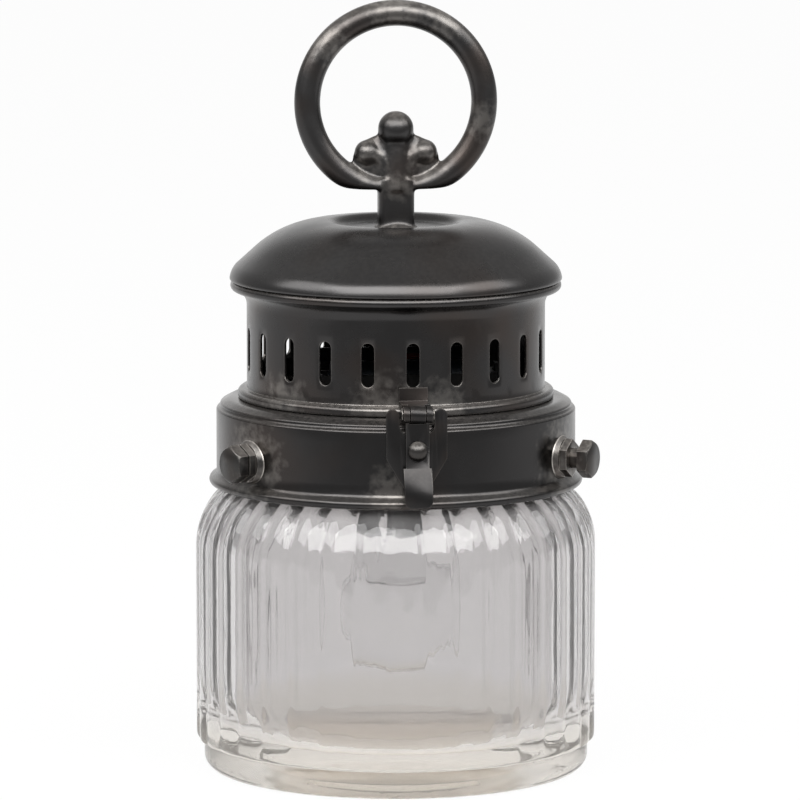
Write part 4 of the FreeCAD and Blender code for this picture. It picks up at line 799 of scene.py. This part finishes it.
# %% [markdown]
# ## The table
# The table is a white laminate sheet that runs far back and ends a short way in front of the lantern. A
# plain white surface would turn grey towards the back. This one is white to the eye and in reflections,
# and a small share of it stays an ordinary surface, which takes the soft shadow.

# %% The table
TABLE_HALF, TABLE_FRONT, TABLE_LEVEL = 8, 0.4, -0.3 * MM
GLOW_SHARE = 0.96
ground = bmesh.new()
bmesh.ops.create_grid(ground, x_segments=1, y_segments=1, size=TABLE_HALF,
                      matrix=Matrix.Translation((0, TABLE_HALF - TABLE_FRONT, TABLE_LEVEL)))
mesh = bpy.data.meshes.new("white_table")
ground.to_mesh(mesh)
ground.free()
table = bpy.data.objects.new("white_table", mesh)
bpy.context.scene.collection.objects.link(table)
table_white, tree, shader, _ = open_material("white_table_laminate")
shader.inputs["Base Color"].default_value = colour("#f4f4f2")
shader.inputs["Roughness"].default_value = 0.8
glow = node(tree, "ShaderNodeEmission", {"Color": colour("#ffffff"), "Strength": 1.0})
mixed = node(tree, "ShaderNodeMixShader",
             {0: white_for_the_eye(tree, GLOW_SHARE), 1: shader.outputs["BSDF"], 2: glow})
tree.links.new(mixed, tree.nodes["Material Output"].inputs["Surface"])
mesh.materials.append(table_white)
print("table ready")

# %% [markdown]
# ## The lamps
# One wide soft box above the camera draws the long highlights on rim, ring and bead and the row of bright
# patches on the glass shoulder. Two smaller ones carry those highlights round the sides. A lamp is placed
# by its bearing and height as a photographer would, and its power follows from the brightness that it
# should show.

# %% The lamps
AIM = Vector((0, 0, 0.14))
LAMP_DISTANCE = 1.8


def soft_box(name, spot, target, wide, tall, radiance):
    lamp = bpy.data.lights.new(name, "AREA")
    lamp.shape = "RECTANGLE"
    lamp.size, lamp.size_y = wide, tall
    lamp.energy = radiance * math.pi * wide * tall
    made = bpy.data.objects.new(name, lamp)
    made.location = spot
    made.rotation_euler = (target - spot).to_track_quat("-Z", "Y").to_euler()
    bpy.context.scene.collection.objects.link(made)
    print(f"{name}: {wide} by {tall} m, {lamp.energy:.1f} W")


for name, bearing, elevation, wide, tall, radiance in (
        ("front_box", -6, 42, 3.0, 1.2, 5.0), ("left_box", -80, 38, 1.2, 1.0, 3.0),
        ("right_box", 68, 38, 1.2, 1.0, 3.0)):
    around, up = math.radians(bearing), math.radians(elevation)
    offset = Vector((math.sin(around) * math.cos(up), -math.cos(around) * math.cos(up), math.sin(up)))
    soft_box(name, AIM + offset * LAMP_DISTANCE, AIM, wide, tall, radiance)

# %% [markdown]
# ## The camera
# The photograph was taken from nearly two metres with a long lens, a little to the left and from just
# above the lantern, so uprights stay parallel and round rims show as slim ellipses.

# %% The camera
CAMERA_DISTANCE, CAMERA_HEIGHT, CAMERA_BEARING = 1.94, 0.385, math.radians(-6.5)
SENSOR_MM, LENS_MM, FAR_CLIP = 36, 292.95, 30
TILT_DEGREES, AIM_TRIM = 90 - 8.03, math.radians(0.037)
camera = bpy.data.objects.new("camera", bpy.data.cameras.new("camera"))
camera.data.sensor_width = SENSOR_MM
camera.data.lens = LENS_MM
camera.data.clip_end = FAR_CLIP
camera.location = (CAMERA_DISTANCE * math.sin(CAMERA_BEARING),
                   -CAMERA_DISTANCE * math.cos(CAMERA_BEARING), CAMERA_HEIGHT)
camera.rotation_euler = (math.radians(TILT_DEGREES), 0, CAMERA_BEARING - AIM_TRIM)
bpy.context.scene.collection.objects.link(camera)
bpy.context.scene.camera = camera
bpy.context.scene.view_settings.view_transform = "Standard"
print("camera at", [round(side, 3) for side in camera.location])
